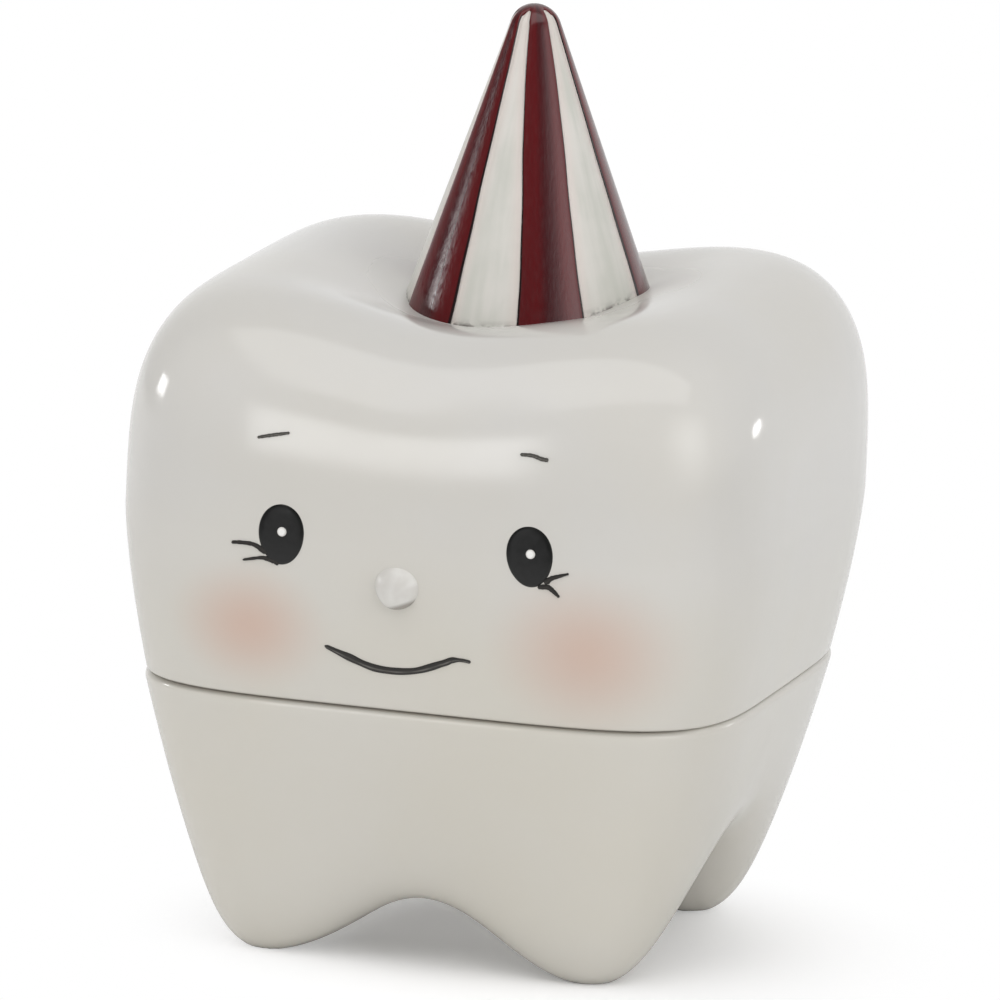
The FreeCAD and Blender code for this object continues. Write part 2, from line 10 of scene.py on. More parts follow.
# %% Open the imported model
import bpy
import numpy as np
from mathutils import Matrix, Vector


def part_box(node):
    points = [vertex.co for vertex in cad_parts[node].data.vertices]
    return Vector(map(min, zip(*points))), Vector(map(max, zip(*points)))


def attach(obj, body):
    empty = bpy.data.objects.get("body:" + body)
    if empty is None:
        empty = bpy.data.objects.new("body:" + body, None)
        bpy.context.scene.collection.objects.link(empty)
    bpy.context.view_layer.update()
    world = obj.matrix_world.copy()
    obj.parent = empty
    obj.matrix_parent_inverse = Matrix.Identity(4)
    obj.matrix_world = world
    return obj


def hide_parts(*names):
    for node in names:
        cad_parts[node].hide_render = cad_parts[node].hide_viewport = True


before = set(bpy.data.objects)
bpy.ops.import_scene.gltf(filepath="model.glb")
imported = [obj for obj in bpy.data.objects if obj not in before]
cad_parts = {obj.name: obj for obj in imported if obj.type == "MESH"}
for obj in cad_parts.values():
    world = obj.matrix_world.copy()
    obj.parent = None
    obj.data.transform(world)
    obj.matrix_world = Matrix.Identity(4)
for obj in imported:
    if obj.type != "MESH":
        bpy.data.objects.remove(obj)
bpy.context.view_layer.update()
MM = 0.001
print("nodes:", sorted(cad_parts))

# %% [markdown]
# ## Measures that everything shares
#
# All shapes are worked out in millimetres and put into their meshes in metres. The main measures come from
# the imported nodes, so the looks follow the construction. The powers and depths that shape the surfaces
# repeat the ones that the construction uses.

# %% Read the main measures
def node_box(node):
    """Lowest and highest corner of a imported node, in millimetres."""
    low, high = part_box(node)
    return np.array(low) / MM, np.array(high) / MM


crown_low, crown_high = node_box("crown_lid")
base_high = node_box("root_base")[1]
SEAM = round(float(base_high[2]), 1)
HALF = round(float(crown_high[0] - crown_low[0]) / 2, 1)
LIP_BOTTOM = round(float(crown_low[2]), 1)
print("seam at", SEAM, "half width", HALF, "lip reaches down to", LIP_BOTTOM)

# %% [markdown]
# ## From rings to closed meshes
#
# Nearly every piece here is a stack of rings: the crown, the roots, the hat, even a brush stroke. One
# helper joins such a stack into a closed skin. Modelling with extrusions or sculpting would work too, but a
# formula keeps the pieces in step with the construction, and the reader can change a number and run the
# cell again.

# %% Closed skins and finished pieces
SHARP_ANGLE = np.radians(50)


def shell(rings, start, end, **marks):
    """Closed skin from a stack of rings, with a pole before the first ring and one after the last.

    Quads join each point to its neighbour and to the next ring, and triangles close the poles. A sixth of
    the sum of a . (b x c) over all triangles is the volume. If it is negative, the faces point inwards and
    are turned. Marks are numbers per ring point for the paint, and a pole gets the mean of its ring.
    """
    rows, columns = rings.shape[:2]
    index = np.arange(rows * columns).reshape(rows, columns)
    beside = np.roll(index, -1, axis=1)
    points = np.concatenate([rings.reshape(-1, 3), [start, end]])
    quads = np.stack([index[:-1], beside[:-1], beside[1:], index[1:]], -1).reshape(-1, 4)
    first = np.stack([beside[0], index[0], np.full(columns, rows * columns)], -1)
    last = np.stack([index[-1], beside[-1], np.full(columns, rows * columns + 1)], -1)
    caps = np.concatenate([first, last])
    triangles = np.concatenate([quads[:, :3], quads[:, [0, 2, 3]], caps])
    a, b, c = (points[triangles[:, corner]] for corner in range(3))
    volume = np.einsum("ij,ij->", a, np.cross(b, c)) / 6
    around = np.arange(columns) / columns
    step = 1 / columns
    down = np.linspace(0, 1, rows)
    quad_u = np.stack([around, around + step, around + step, around], -1)
    quad_v = np.stack([down[:-1], down[:-1], down[1:], down[1:]], -1)
    quad_uv = np.stack(np.broadcast_arrays(quad_u[None], quad_v[:, None]), -1).reshape(-1, 4, 2)
    cap_u = np.stack([around + step, around, around + step / 2], -1)
    first_uv = np.stack([cap_u, np.zeros_like(cap_u)], -1)
    last_uv = np.stack([cap_u[:, [1, 0, 2]], np.ones_like(cap_u)], -1)
    cap_uv = np.concatenate([first_uv, last_uv])
    if volume < 0:
        quads, caps, quad_uv, cap_uv = quads[:, ::-1], caps[:, ::-1], quad_uv[:, ::-1], cap_uv[:, ::-1]
    whole = {}
    for mark, values in marks.items():
        values = np.broadcast_to(values, (rows, columns))
        whole[mark] = np.concatenate([values.ravel(), [values[0].mean(), values[-1].mean()]])
    return {"points": points, "quads": quads, "caps": caps, "quad_uv": quad_uv, "cap_uv": cap_uv,
            "marks": whole, "volume": abs(volume)}


def piece(name, shells, body, nodes, finishes, finish_index=None):
    """One finished object from closed skins: mesh, surface map, paint marks, and its place on a body."""
    starts = np.cumsum([0] + [len(skin["points"]) for skin in shells])
    points = np.concatenate([skin["points"] for skin in shells]) * MM
    quads = np.concatenate([skin["quads"] + start for skin, start in zip(shells, starts)])
    caps = np.concatenate([skin["caps"] + start for skin, start in zip(shells, starts)])
    mesh = bpy.data.meshes.new(name)
    mesh.from_pydata(points.tolist(), [], quads.tolist() + caps.tolist())
    maps = [skin[part].reshape(-1, 2) for part in ("quad_uv", "cap_uv") for skin in shells]
    surface = np.concatenate(maps)
    mesh.uv_layers.new(name="surface").data.foreach_set("uv", surface.ravel().astype(np.float32))
    for mark in shells[0]["marks"]:
        values = np.concatenate([skin["marks"][mark] for skin in shells]).astype(np.float32)
        mesh.attributes.new(mark, "FLOAT", "POINT").data.foreach_set("value", values)
    mesh.polygons.foreach_set("use_smooth", np.ones(len(mesh.polygons), bool))
    mesh.set_sharp_from_angle(angle=SHARP_ANGLE)
    for finish in finishes:
        mesh.materials.append(finish)
    if finish_index is not None:
        mesh.polygons.foreach_set("material_index", np.asarray(finish_index, np.int32))
    made = bpy.data.objects.new(name, mesh)
    bpy.context.scene.collection.objects.link(made)
    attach(made, body)
    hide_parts(*nodes)
    volume = sum(skin["volume"] for skin in shells) / 1000
    print(f"{name}: {len(points)} points, {len(mesh.polygons)} faces, {volume:.3f} cm3")


# %% [markdown]
# ## Paint from nodes
#
# Every finish is a small node tree on one glossy shader. These helpers keep the trees readable: each makes
# one node, sets its sockets by name and links those that are given another node's output. Colours are
# written as the display values that a painter would read off a swatch.

# %% Helpers for node trees
NOISE_LOW, NOISE_HIGH = 0.3, 0.7


def swatch(red, green, blue):
    """Linear colour of display values from 0 to 255, by the sRGB curve."""
    share = np.array([red, green, blue]) / 255
    linear = np.where(share <= 0.04045, share / 12.92, ((share + 0.055) / 1.055) ** 2.4)
    return (*linear.tolist(), 1.0)


def new_finish(name, **sockets):
    """Material with one glossy shader whose plain sockets are set. Gives material, tree and shader."""
    material = bpy.data.materials.new(name)
    material.use_nodes = True
    tree = material.node_tree
    shader = tree.nodes["Principled BSDF"]
    for socket, value in sockets.items():
        shader.inputs[socket.replace("_", " ")].default_value = value
    return material, tree, shader


def feed(tree, shader, **outputs):
    """Link outputs of nodes to the shader's sockets."""
    for socket, output in outputs.items():
        tree.links.new(output, shader.inputs[socket.replace("_", " ")])


def add(tree, kind, inputs=None, **settings):
    """New node of a kind. Inputs are values, or sockets of other nodes that get linked."""
    node = tree.nodes.new("ShaderNode" + kind)
    for setting, value in settings.items():
        setattr(node, setting, value)
    for socket, value in (inputs or {}).items():
        if isinstance(value, bpy.types.NodeSocket):
            tree.links.new(value, node.inputs[socket])
        else:
            node.inputs[socket].default_value = value
    return node


def mixed(tree, factor, first, second):
    """Colour between two colours."""
    node = add(tree, "Mix", {0: factor, 6: first, 7: second}, data_type="RGBA")
    return node.outputs[2]


def calc(tree, operation, first, second):
    """Sum, product, power or the like of two numbers."""
    return add(tree, "Math", {0: first, 1: second}, operation=operation).outputs[0]


def gap(tree, value, middle):
    """Distance of a number from a middle."""
    return calc(tree, "ABSOLUTE", calc(tree, "SUBTRACT", value, middle), 0.0)


def vector_calc(tree, operation, first, second):
    """Sum, difference or product of two vectors."""
    return add(tree, "VectorMath", {0: first, 1: second}, operation=operation).outputs["Vector"]


def dot_product(tree, first, second):
    """How far one vector goes in the direction of another."""
    return add(tree, "VectorMath", {0: first, 1: second}, operation="DOT_PRODUCT").outputs["Value"]


def length_of(tree, vector):
    """Length of a vector."""
    return add(tree, "VectorMath", {0: vector}, operation="LENGTH").outputs["Value"]


def remap(tree, value, low, high, to_low=0.0, to_high=1.0):
    """Number carried smoothly from one range to another and held at its ends."""
    inputs = {"Value": value, "From Min": low, "From Max": high, "To Min": to_low, "To Max": to_high}
    return add(tree, "MapRange", inputs, interpolation_type="SMOOTHSTEP").outputs["Result"]


def noise_to(tree, noise, low=0.0, high=1.0):
    """Noise carried from the range that it mostly keeps to another range."""
    return remap(tree, noise, NOISE_LOW, NOISE_HIGH, low, high)


def speckle(tree, vector, scale, detail=2.0, roughness=0.5):
    """Cloudy noise between 0 and 1, with features of about one over the scale."""
    inputs = {"Vector": vector, "Scale": scale, "Detail": detail, "Roughness": roughness}
    return add(tree, "TexNoise", inputs).outputs["Fac"]


def bump(tree, height, distance, strength, below=None):
    """Surface normal from a height, at a depth in metres, on top of another normal."""
    inputs = {"Height": height, "Distance": distance, "Strength": strength}
    if below is not None:
        inputs["Normal"] = below
    return add(tree, "Bump", inputs).outputs["Normal"]


def object_place(tree):
    """Place of a point in the piece's own frame, in metres."""
    return add(tree, "TexCoord").outputs["Object"]


def mark_value(tree, mark):
    """Paint mark that was stored with the mesh."""
    return add(tree, "Attribute", attribute_name=mark).outputs["Fac"]


def streaks(tree, around, along, detail=2.0, roughness=0.5):
    """Noise on the piece's own surface map, stretched so that strokes run along the piece."""
    place = add(tree, "UVMap", uv_map="surface").outputs["UV"]
    place = add(tree, "Mapping", {"Vector": place, "Scale": (around, along, 1.0)}).outputs["Vector"]
    return speckle(tree, place, 1.0, detail, roughness)


# %% [markdown]
# ## The crown's shape
#
# Seen from above the crown is a square with very round corners. Its wall swells from the seam to a widest
# level, and a full shoulder leads over to four cusps, with a groove from front to back and a dip where the
# hat stands. It could be sculpted, but a superellipse has just this fullness: raising its power makes it
# squarer.

# %% Crown formulas
PLAN_POWER = 4.9
WIDEST = SEAM + 17.8
NECK_INSET, NECK_POWER = 2.6, 1.4
LOBE_RISE, SHOULDER_POWER = 27.6, 3.6
GROOVE_DEPTH, GROOVE_WIDTH = 3.3, 13.8
DIP_DEPTH, BACK_RISE = 5.7, 0.8
CROWN_RIM = 0.3
COLUMNS, RIM_ROWS, NECK_ROWS, TOP_ROWS = 288, 6, 44, 120
ANGLES = np.linspace(0, 2 * np.pi, COLUMNS, endpoint=False)


def smooth_step(share):
    """Rise from 0 to 1 that starts and ends level: 10 s^3 - 15 s^4 + 6 s^5."""
    share = np.clip(share, 0, 1)
    return share ** 3 * (10 - 15 * share + 6 * share ** 2)


def plan_direction(angle):
    """Superellipse of half-size 1: the direction times (|cos|^p + |sin|^p)^(-1/p)."""
    cosine, sine = np.cos(angle), np.sin(angle)
    reach = (np.abs(cosine) ** PLAN_POWER + np.abs(sine) ** PLAN_POWER) ** (-1 / PLAN_POWER)
    return reach * cosine, reach * sine


def rim_inset(distance, radius):
    """Draw-in of a quarter-round edge: radius minus the root of radius^2 - (radius - distance)^2."""
    return radius - np.sqrt(radius ** 2 - np.maximum(radius - distance, 0) ** 2)


def wall_inset(height):
    """Draw-in of the crown below its widest level: the inset times a power of the share of the way down."""
    low = np.maximum((WIDEST - height) / (WIDEST - SEAM), 0)
    return NECK_INSET * low ** NECK_POWER


def top_height(x, y):
    """Height of the crown's top: the lobes, less groove and dip, times a superelliptic shoulder."""
    share = (np.abs(x / HALF) ** PLAN_POWER + np.abs(y / HALF) ** PLAN_POWER) ** (1 / PLAN_POWER)
    share = np.minimum(share, 1)
    lift = (1 - share ** SHOULDER_POWER) ** (1 / SHOULDER_POWER)
    groove = GROOVE_DEPTH * np.exp(-(x / GROOVE_WIDTH) ** 2)
    dip = DIP_DEPTH * (1 - smooth_step(share))
    return WIDEST + lift * (LOBE_RISE + BACK_RISE * y / HALF - groove - dip)


def level_rings(half, height):
    """Level rings of the plan, one for each half-size and height."""
    across, back = plan_direction(ANGLES)
    half, height = np.broadcast_arrays(np.reshape(half, (-1, 1)), np.reshape(height, (-1, 1)))
    return np.stack([half * across, half * back, height + 0 * across], -1)


def even_steps(x, y, count):
    """Places along a profile that divide its length evenly, as shares of the profile's points."""
    length = np.concatenate([[0], np.cumsum(np.hypot(np.diff(x), np.diff(y)))])
    return np.interp(np.linspace(0, length[-1], count), length, np.linspace(0, 1, len(length)))


def crown_skin():
    """Outer skin of the crown from the seam to the middle of its top."""
    quarter = np.linspace(0, np.pi / 2, RIM_ROWS)
    rounding = CROWN_RIM * (1 - np.cos(quarter))
    rim_height = SEAM + rounding
    rim = level_rings(HALF - wall_inset(rim_height) - rim_inset(rounding, CROWN_RIM), rim_height)
    neck_height = np.linspace(SEAM + CROWN_RIM, WIDEST, NECK_ROWS)[1:]
    neck = level_rings(HALF - wall_inset(neck_height), neck_height)
    fine = np.linspace(0, 1, 2000)
    turn = fine * np.pi / 2
    profile = np.cos(turn) ** (2 / SHOULDER_POWER), np.sin(turn) ** (2 / SHOULDER_POWER)
    turn = np.interp(even_steps(*profile, TOP_ROWS), fine, turn)[1:-1]
    top = level_rings(HALF * np.cos(turn) ** (2 / SHOULDER_POWER), WIDEST)
    top[..., 2] = top_height(top[..., 0], top[..., 1])
    return np.concatenate([rim, neck, top])


crown_outside = crown_skin()
print("crown skin:", crown_outside.shape[:2], "top at", crown_outside[..., 2].max().round(2))

# %% [markdown]
# ## The inside of the lid
#
# Turned over, the lid shows a flat seam face, a lip that drops into the base, and a hollow with rounded
# corners. These are squares with round corners, so a second kind of ring is needed. With the same number of
# points as the crown's rings, the two kinds join into one closed skin without any Boolean.

# %% Rings of rounded squares
LIP_HALF, LIP_CORNER, LIP_ROUND = 26.1, 9.7, 0.6
HOLLOW_HALF, HOLLOW_CORNER, HOLLOW_ROUND, HOLLOW_TOP = 23.9, 7.5, 6.0, 57.9
INNER_EDGE, FIRST_RING = 0.3, 0.06


def square_rings(half, corner, height):
    """Rings of squares with round corners.

    A direction meets a flat side at half / max(|cos|, |sin|). Near a corner it meets the corner's circle
    instead, at the larger root of the equation of line and circle.
    """
    values = np.broadcast_arrays(half, corner, height)
    half, corner, height = (np.reshape(value, (-1, 1)) for value in values)
    cosine, sine = np.cos(ANGLES), np.sin(ANGLES)
    longer, shorter = np.maximum(np.abs(cosine), np.abs(sine)), np.minimum(np.abs(cosine), np.abs(sine))
    middle = half - corner
    along = middle * (longer + shorter)
    on_circle = along + np.sqrt(np.maximum(along ** 2 - 2 * middle ** 2 + corner ** 2, 0))
    reach = np.where(half * shorter / longer > middle, on_circle, half / longer)
    return np.stack([reach * cosine, reach * sine, height + 0 * reach], -1)


def inner_skin(half, corner, rounding, end, mouth, level_rows, wall_rows):
    """Rings of a hollow from the middle of its closed end, round its edge and along its wall."""
    flat_half, flat_corner = half - rounding, corner - rounding
    grow = np.linspace(FIRST_RING, 1, level_rows)
    flat = square_rings(grow * flat_half, grow * flat_corner, end)
    quarter = np.linspace(0, np.pi / 2, 9)[1:]
    side = np.sign(mouth - end)
    out, away = rounding * np.sin(quarter), rounding * (1 - np.cos(quarter))
    edge = square_rings(flat_half + out, flat_corner + out, end + side * away)
    wall_height = np.linspace(end + side * rounding, mouth, wall_rows)[1:]
    wall = square_rings(half, corner, wall_height)
    return np.concatenate([flat, edge, wall])


def between(first, last, count):
    """Rings in equal steps between two rings, without the two themselves."""
    share = np.linspace(0, 1, count + 2)[1:-1, None, None]
    return first + (last - first) * share


def lid_inside(seam_ring):
    """Hollow, lip and seam face of the lid, from the middle of the roof out to the seam's outer ring."""
    mouth = LIP_BOTTOM + INNER_EDGE
    hollow = inner_skin(HOLLOW_HALF, HOLLOW_CORNER, HOLLOW_ROUND, HOLLOW_TOP, mouth, 8, 16)
    quarter = np.linspace(0, np.pi / 2, 5)[1:]
    in_out, in_down = INNER_EDGE * (1 - np.cos(quarter)), INNER_EDGE * (1 - np.sin(quarter))
    inner = square_rings(HOLLOW_HALF + in_out, HOLLOW_CORNER + in_out, LIP_BOTTOM + in_down)
    out, up = LIP_ROUND * (np.sin(quarter) - 1), LIP_ROUND * (1 - np.cos(quarter))
    foot = square_rings(LIP_HALF - LIP_ROUND, LIP_CORNER - LIP_ROUND, LIP_BOTTOM)
    outer = square_rings(LIP_HALF + out, LIP_CORNER + out, LIP_BOTTOM + up)
    wall = square_rings(LIP_HALF, LIP_CORNER, np.linspace(LIP_BOTTOM + LIP_ROUND, SEAM, 6)[1:])
    face = between(wall[-1], seam_ring, 3)
    return np.concatenate([hollow, inner, foot, outer, wall, face])


lid_within = lid_inside(crown_outside[0])
print("lid inside:", lid_within.shape[:2])

# %% [markdown]
# ## Cream glaze with a blush
#
# The casting is painted a warm grey cream and glazed. The cream isn't quite even: it drifts between a
# warmer tone below and a cooler one above, and the glaze has a faint waviness that bends the reflections of
# the lamps. It is duller round the hat, where a brush hardly reaches. On the cheeks the painter has sprayed
# a soft pink. A picture could hold that, but a distance from each cheek's middle, faded smoothly to
# nothing, gives the same spray and stays sharp at any size. The front of the seam is darkened with painted
# shade, for the shadow in the crevice under the lid's edge. The inside is left without the glaze.

# %% Glaze, blush and bare casting
CREAM_COOL = swatch(208, 206, 202)
CREAM_WARM = swatch(206, 202, 192)
BLUSH = swatch(203, 178, 164)
COOL_ABOVE, WARM_BELOW = 52.0, 34.0
DRIFT_SCALE, DRIFT = 38.0, 0.2
# Colour of painted shade: it darkens the seam's crevice at the front and the crease under the nose.
PAINTED_SHADE = swatch(92, 82, 68)
SEAM_SHADE_LEVEL, SEAM_SHADE_REACH, SEAM_SHADE_SHARE = SEAM - 0.15, 0.45, 0.6
SEAM_SHADE_FROM, SEAM_SHADE_TO = -24.0, -31.0
HAT_PLACE = (1.9, 1.3)
GLOSS_SCALE, GLOSS_LOW, GLOSS_HIGH = 120.0, 0.10, 0.15
DULL_FROM, DULL_TO, DULL_SHARE = 24.0, 13.0, 0.22
WAVE_SCALE, WAVE_DEPTH, WAVE_SHARE = 70.0, 0.4, 0.06
GRAIN_SCALE, GRAIN_DEPTH, GRAIN_SHARE = 900.0, 0.02, 0.25
CASTING_PALE = swatch(206, 202, 192)
CASTING_DARK = swatch(192, 187, 175)


def cheek(tree, place, middle, spread, full):
    """Share of blush: full at the cheek's middle and smoothly down to none at the spread, in mm."""
    scale = [1 / (reach * MM) for reach in spread]
    shift = [-value * MM * factor for value, factor in zip(middle, scale)]
    near = add(tree, "Mapping", {"Vector": place, "Location": shift, "Scale": scale}).outputs["Vector"]
    return remap(tree, length_of(tree, near), 1.0, 0.0, 0.0, full)


def glaze(name, cheeks=()):
    """Cream paint under a clear glaze, with blush on the given cheeks and painted shade in the seam's
    front.
    """
    material, tree, shader = new_finish(name, IOR=1.5)
    place = object_place(tree)
    parts = add(tree, "SeparateXYZ", {"Vector": place}).outputs
    depth, height = parts["Y"], parts["Z"]
    warm = remap(tree, height, COOL_ABOVE * MM, WARM_BELOW * MM, 0.2, 0.8)
    drift = noise_to(tree, speckle(tree, place, DRIFT_SCALE, 3.0), -DRIFT, DRIFT)
    colour = mixed(tree, calc(tree, "ADD", warm, drift), CREAM_COOL, CREAM_WARM)
    for middle, spread, full in cheeks:
        colour = mixed(tree, cheek(tree, place, middle, spread, full), colour, BLUSH)
    # Painted shade in the seam: darkest at the seam's level, fading over the reach, strongest at the front.
    seam_shade = remap(tree, gap(tree, height, SEAM_SHADE_LEVEL * MM), SEAM_SHADE_REACH * MM, 0.0, 0.0, SEAM_SHADE_SHARE)
    in_front = remap(tree, depth, SEAM_SHADE_FROM * MM, SEAM_SHADE_TO * MM, 0.1, 1.0)
    colour = mixed(tree, calc(tree, "MULTIPLY", seam_shade, in_front), colour, PAINTED_SHADE)
    gloss = noise_to(tree, speckle(tree, place, GLOSS_SCALE), GLOSS_LOW, GLOSS_HIGH)
    from_hat = vector_calc(tree, "SUBTRACT", place, (HAT_PLACE[0] * MM, HAT_PLACE[1] * MM, 0.0))
    off_hat = length_of(tree, vector_calc(tree, "MULTIPLY", from_hat, (1.0, 1.0, 0.0)))
    dull = remap(tree, off_hat, DULL_FROM * MM, DULL_TO * MM, 0.0, DULL_SHARE)
    wave = bump(tree, speckle(tree, place, WAVE_SCALE, 1.0), WAVE_DEPTH * MM, WAVE_SHARE)
    grain = bump(tree, speckle(tree, place, GRAIN_SCALE), GRAIN_DEPTH * MM, GRAIN_SHARE, wave)
    feed(tree, shader, Base_Color=colour, Roughness=calc(tree, "ADD", gloss, dull), Normal=grain)
    return material


def bare_casting(name):
    """Unglazed inside: the same cream, thin and dull, with brush marks and a few darker clouds."""
    material, tree, shader = new_finish(name, IOR=1.5)
    place = object_place(tree)
    clouds = remap(tree, speckle(tree, place, scale=90.0, detail=4.0), 0.35, 0.75)
    colour = mixed(tree, clouds, CASTING_PALE, CASTING_DARK)
    dull = remap(tree, clouds, 0.0, 1.0, to_low=0.5, to_high=0.65)
    grain = bump(tree, speckle(tree, place, scale=700.0, detail=4.0), distance=0.06 * MM, strength=0.4)
    feed(tree, shader, Base_Color=colour, Roughness=dull, Normal=grain)
    return material


LEFT_CHEEK = ((-16.8, -33.5, 37.2), (10.2, 30.0, 8.2), 0.95)
RIGHT_CHEEK = ((19.6, -32.5, 37.7), (12.0, 30.0, 10.4), 0.92)
crown_glaze = glaze("crown_glaze", (LEFT_CHEEK, RIGHT_CHEEK))
base_glaze = glaze("base_glaze")
inside_finish = bare_casting("bare_casting")
print("finishes:", [material.name for material in (crown_glaze, base_glaze, inside_finish)])

# %% Make the crown
GLAZED, BARE = 0, 1


def finish_rows(inside_rows, rings):
    """Finish of every face: bare for the first rings and their pole, glazed for the rest."""
    columns = rings.shape[1]
    rows = np.repeat(np.where(np.arange(len(rings) - 1) < inside_rows, BARE, GLAZED), columns)
    return np.concatenate([rows, np.full(columns, BARE), np.full(columns, GLAZED)])


crown_rings = np.concatenate([lid_within, crown_outside])
crown_pole = (0, 0, float(top_height(np.array(0.0), np.array(0.0))))
crown_shell = shell(crown_rings, (0, 0, HOLLOW_TOP), crown_pole)
piece(
    "crown", [crown_shell], "lid", ["crown_lid"],
    [crown_glaze, inside_finish], finish_rows(len(lid_within), crown_rings))

# %% [markdown]
# ## The base and its roots
#
# The base goes on below the seam, a little proud of the lid, and draws in towards four root tips. Between
# them the lower edge rises in arches, low in front and back and high at the sides, and the wall hollows out
# into shallow flutes. The square of the sine of twice the angle is 1 at the four corners and 0 at the four
# faces, so it says how much a direction belongs to a root.

# %% Base formulas
BASE_OVERHANG, BASE_RIM = 0.3, 1.0
ROOT_TAPER, ROOT_TAPER_DEPTH, ROOT_CURL, ROOT_SHIFT = 6.9, 5.2, 1.6, 0.6
FLUTE_SHARE, FLUTE_POWER, SIDE_FLUTE_POWER = 0.21, 2.0, 5.0
FRONT_ARCH, SIDE_ARCH, FOOT_TRIM = 7.6, 12.6, 0.4
TIP_ROUND, TIP_POWER = 3.8, 12.0
VAULT_HEIGHT, VAULT_RADIUS = 13.0, 6.0
WELL_HALF, WELL_CORNER, WELL_ROUND, WELL_FLOOR = 26.4, 10.0, 5.0, 17.0
WALL_START, WALL_ROWS, VAULT_ROWS = 0.03, 80, 41


def swell(share, power):
    """Fullness of a rounded edge or drop: the root of 1 - share^power, from 1 inside to 0 at its rim."""
    return np.sqrt(np.maximum(1 - np.abs(share) ** power, 0))


def arch_edge():
    """Lower edge of the wall: the arches' heights times the square of the cosine of twice the angle."""
    arch = FRONT_ARCH * np.sin(ANGLES) ** 2 + SIDE_ARCH * np.cos(ANGLES) ** 2
    return arch * np.cos(2 * ANGLES) ** 2 - FOOT_TRIM


def root_wall(height, share):
    """Outer wall of the base: tapered, hollowed between the roots and rounded inwards at its lower edge.

    The taper grows with the way down from the seam and the curl with its square. A flute's depth grows as a
    power of the way down to the edge, and with a higher power at the sides.
    """
    drop = (SEAM - height) / SEAM
    edge_drop = (SEAM - arch_edge()) / SEAM
    power = FLUTE_POWER + (SIDE_FLUTE_POWER - FLUTE_POWER) * np.cos(ANGLES) ** 2
    flute_depth = FLUTE_SHARE * edge_drop ** 2 * (drop / edge_drop) ** power
    root = np.sin(2 * ANGLES) ** 2
    half = HALF - NECK_INSET + BASE_OVERHANG - ROOT_CURL * drop ** 2
    flute = 1 - flute_depth * (1 - root)
    tip = TIP_ROUND * (1 - swell(share, TIP_POWER))
    across, back = plan_direction(ANGLES)
    x = (half - ROOT_TAPER * drop) * flute * across - tip * np.cos(ANGLES)
    y = (half - ROOT_TAPER_DEPTH * drop) * flute * back - tip * np.sin(ANGLES) + ROOT_SHIFT * drop
    return np.stack([x, y, height + 0 * x], -1)


def base_skin():
    """Skin of the base from the well's floor over the rim, down the wall and round its edge into the vault.

    The vault goes straight inwards from the edge and rises by the smooth step.
    """
    well = inner_skin(WELL_HALF, WELL_CORNER, WELL_ROUND, WELL_FLOOR, SEAM - INNER_EDGE, 8, 8)
    quarter = np.linspace(0, np.pi / 2, 5)[1:]
    edge_out, edge_up = INNER_EDGE * (1 - np.cos(quarter)), INNER_EDGE * (np.sin(quarter) - 1)
    edge = square_rings(WELL_HALF + edge_out, WELL_CORNER + edge_out, SEAM + edge_up)
    distance = (BASE_RIM * (1 - np.cos(np.linspace(0, np.pi / 2, 8))))[:, None]
    rim = root_wall(SEAM - distance, 0.0 * distance)
    radial = np.stack([np.cos(ANGLES), np.sin(ANGLES), 0 * ANGLES], -1)
    rim -= rim_inset(distance, BASE_RIM)[..., None] * radial
    low_edge = arch_edge()
    share = 1 - (1 - np.linspace(WALL_START, 1, WALL_ROWS)[:, None]) ** 2
    wall = root_wall(SEAM - (SEAM - low_edge) * share, share)
    inward = np.linspace(0, 1, VAULT_ROWS)[1:-1, None]
    vault_x = wall[-1, :, 0] + (VAULT_RADIUS * np.cos(ANGLES) - wall[-1, :, 0]) * inward
    vault_y = wall[-1, :, 1] + (VAULT_RADIUS * np.sin(ANGLES) - wall[-1, :, 1]) * inward
    vault_z = low_edge + (VAULT_HEIGHT - low_edge) * smooth_step(inward)
    vault = np.stack([vault_x, vault_y, vault_z], -1)
    inside = np.concatenate([well, edge, between(edge[-1], rim[0], 3)])
    outside = np.concatenate([rim, wall, vault])
    outside[..., 2] = np.maximum(outside[..., 2], 0)
    return inside, outside


base_inside, base_outside = base_skin()
base_rings = np.concatenate([base_inside, base_outside])
base_shell = shell(base_rings, (0, 0, WELL_FLOOR), (0, 0, VAULT_HEIGHT))
piece(
    "base", [base_shell], "base", ["root_base"],
    [base_glaze, inside_finish], finish_rows(len(base_inside), base_rings))

# %% [markdown]
# ## The party hat
#
# The hat is a slim cone with a round tip, cast apart and glued into the dip, a little right of the middle
# and leaning slightly left. Its foot follows the crown, so each direction needs its own foot height. It is
# found by walking: start at the dip, look how far the crown lies above or below, and go there, a few times
# over.

# %% Hat formulas
HAT_SEAT = np.array([*HAT_PLACE, WIDEST + LOBE_RISE - GROOVE_DEPTH - DIP_DEPTH])
HAT_HEIGHT, HAT_FOOT, HAT_SINK, HAT_TIP = 33.4, 14.2, 1.0, 2.7
HAT_LEAN = np.radians(1.4)
HAT_ACROSS = np.array([np.cos(HAT_LEAN), 0, np.sin(HAT_LEAN)])
HAT_BACK = np.array([0, 1, 0])
HAT_UP = np.array([-np.sin(HAT_LEAN), 0, np.cos(HAT_LEAN)])
TIP_MIDDLE = HAT_HEIGHT - HAT_TIP
FLANK = np.arctan2(HAT_FOOT, TIP_MIDDLE + HAT_SINK) - np.arcsin(
    HAT_TIP / np.hypot(HAT_FOOT, TIP_MIDDLE + HAT_SINK))
TANGENT_HEIGHT = TIP_MIDDLE + HAT_TIP * np.sin(FLANK)
TANGENT_RADIUS = HAT_TIP * np.cos(FLANK)
STRIPE_MIDDLES = np.radians([-128.6, -63.0, 8.4, 82.7, 157.0])
STRIPE_HALVES = np.radians([36.8, 32.6, 35.0, 36.0, 36.0]) / 2
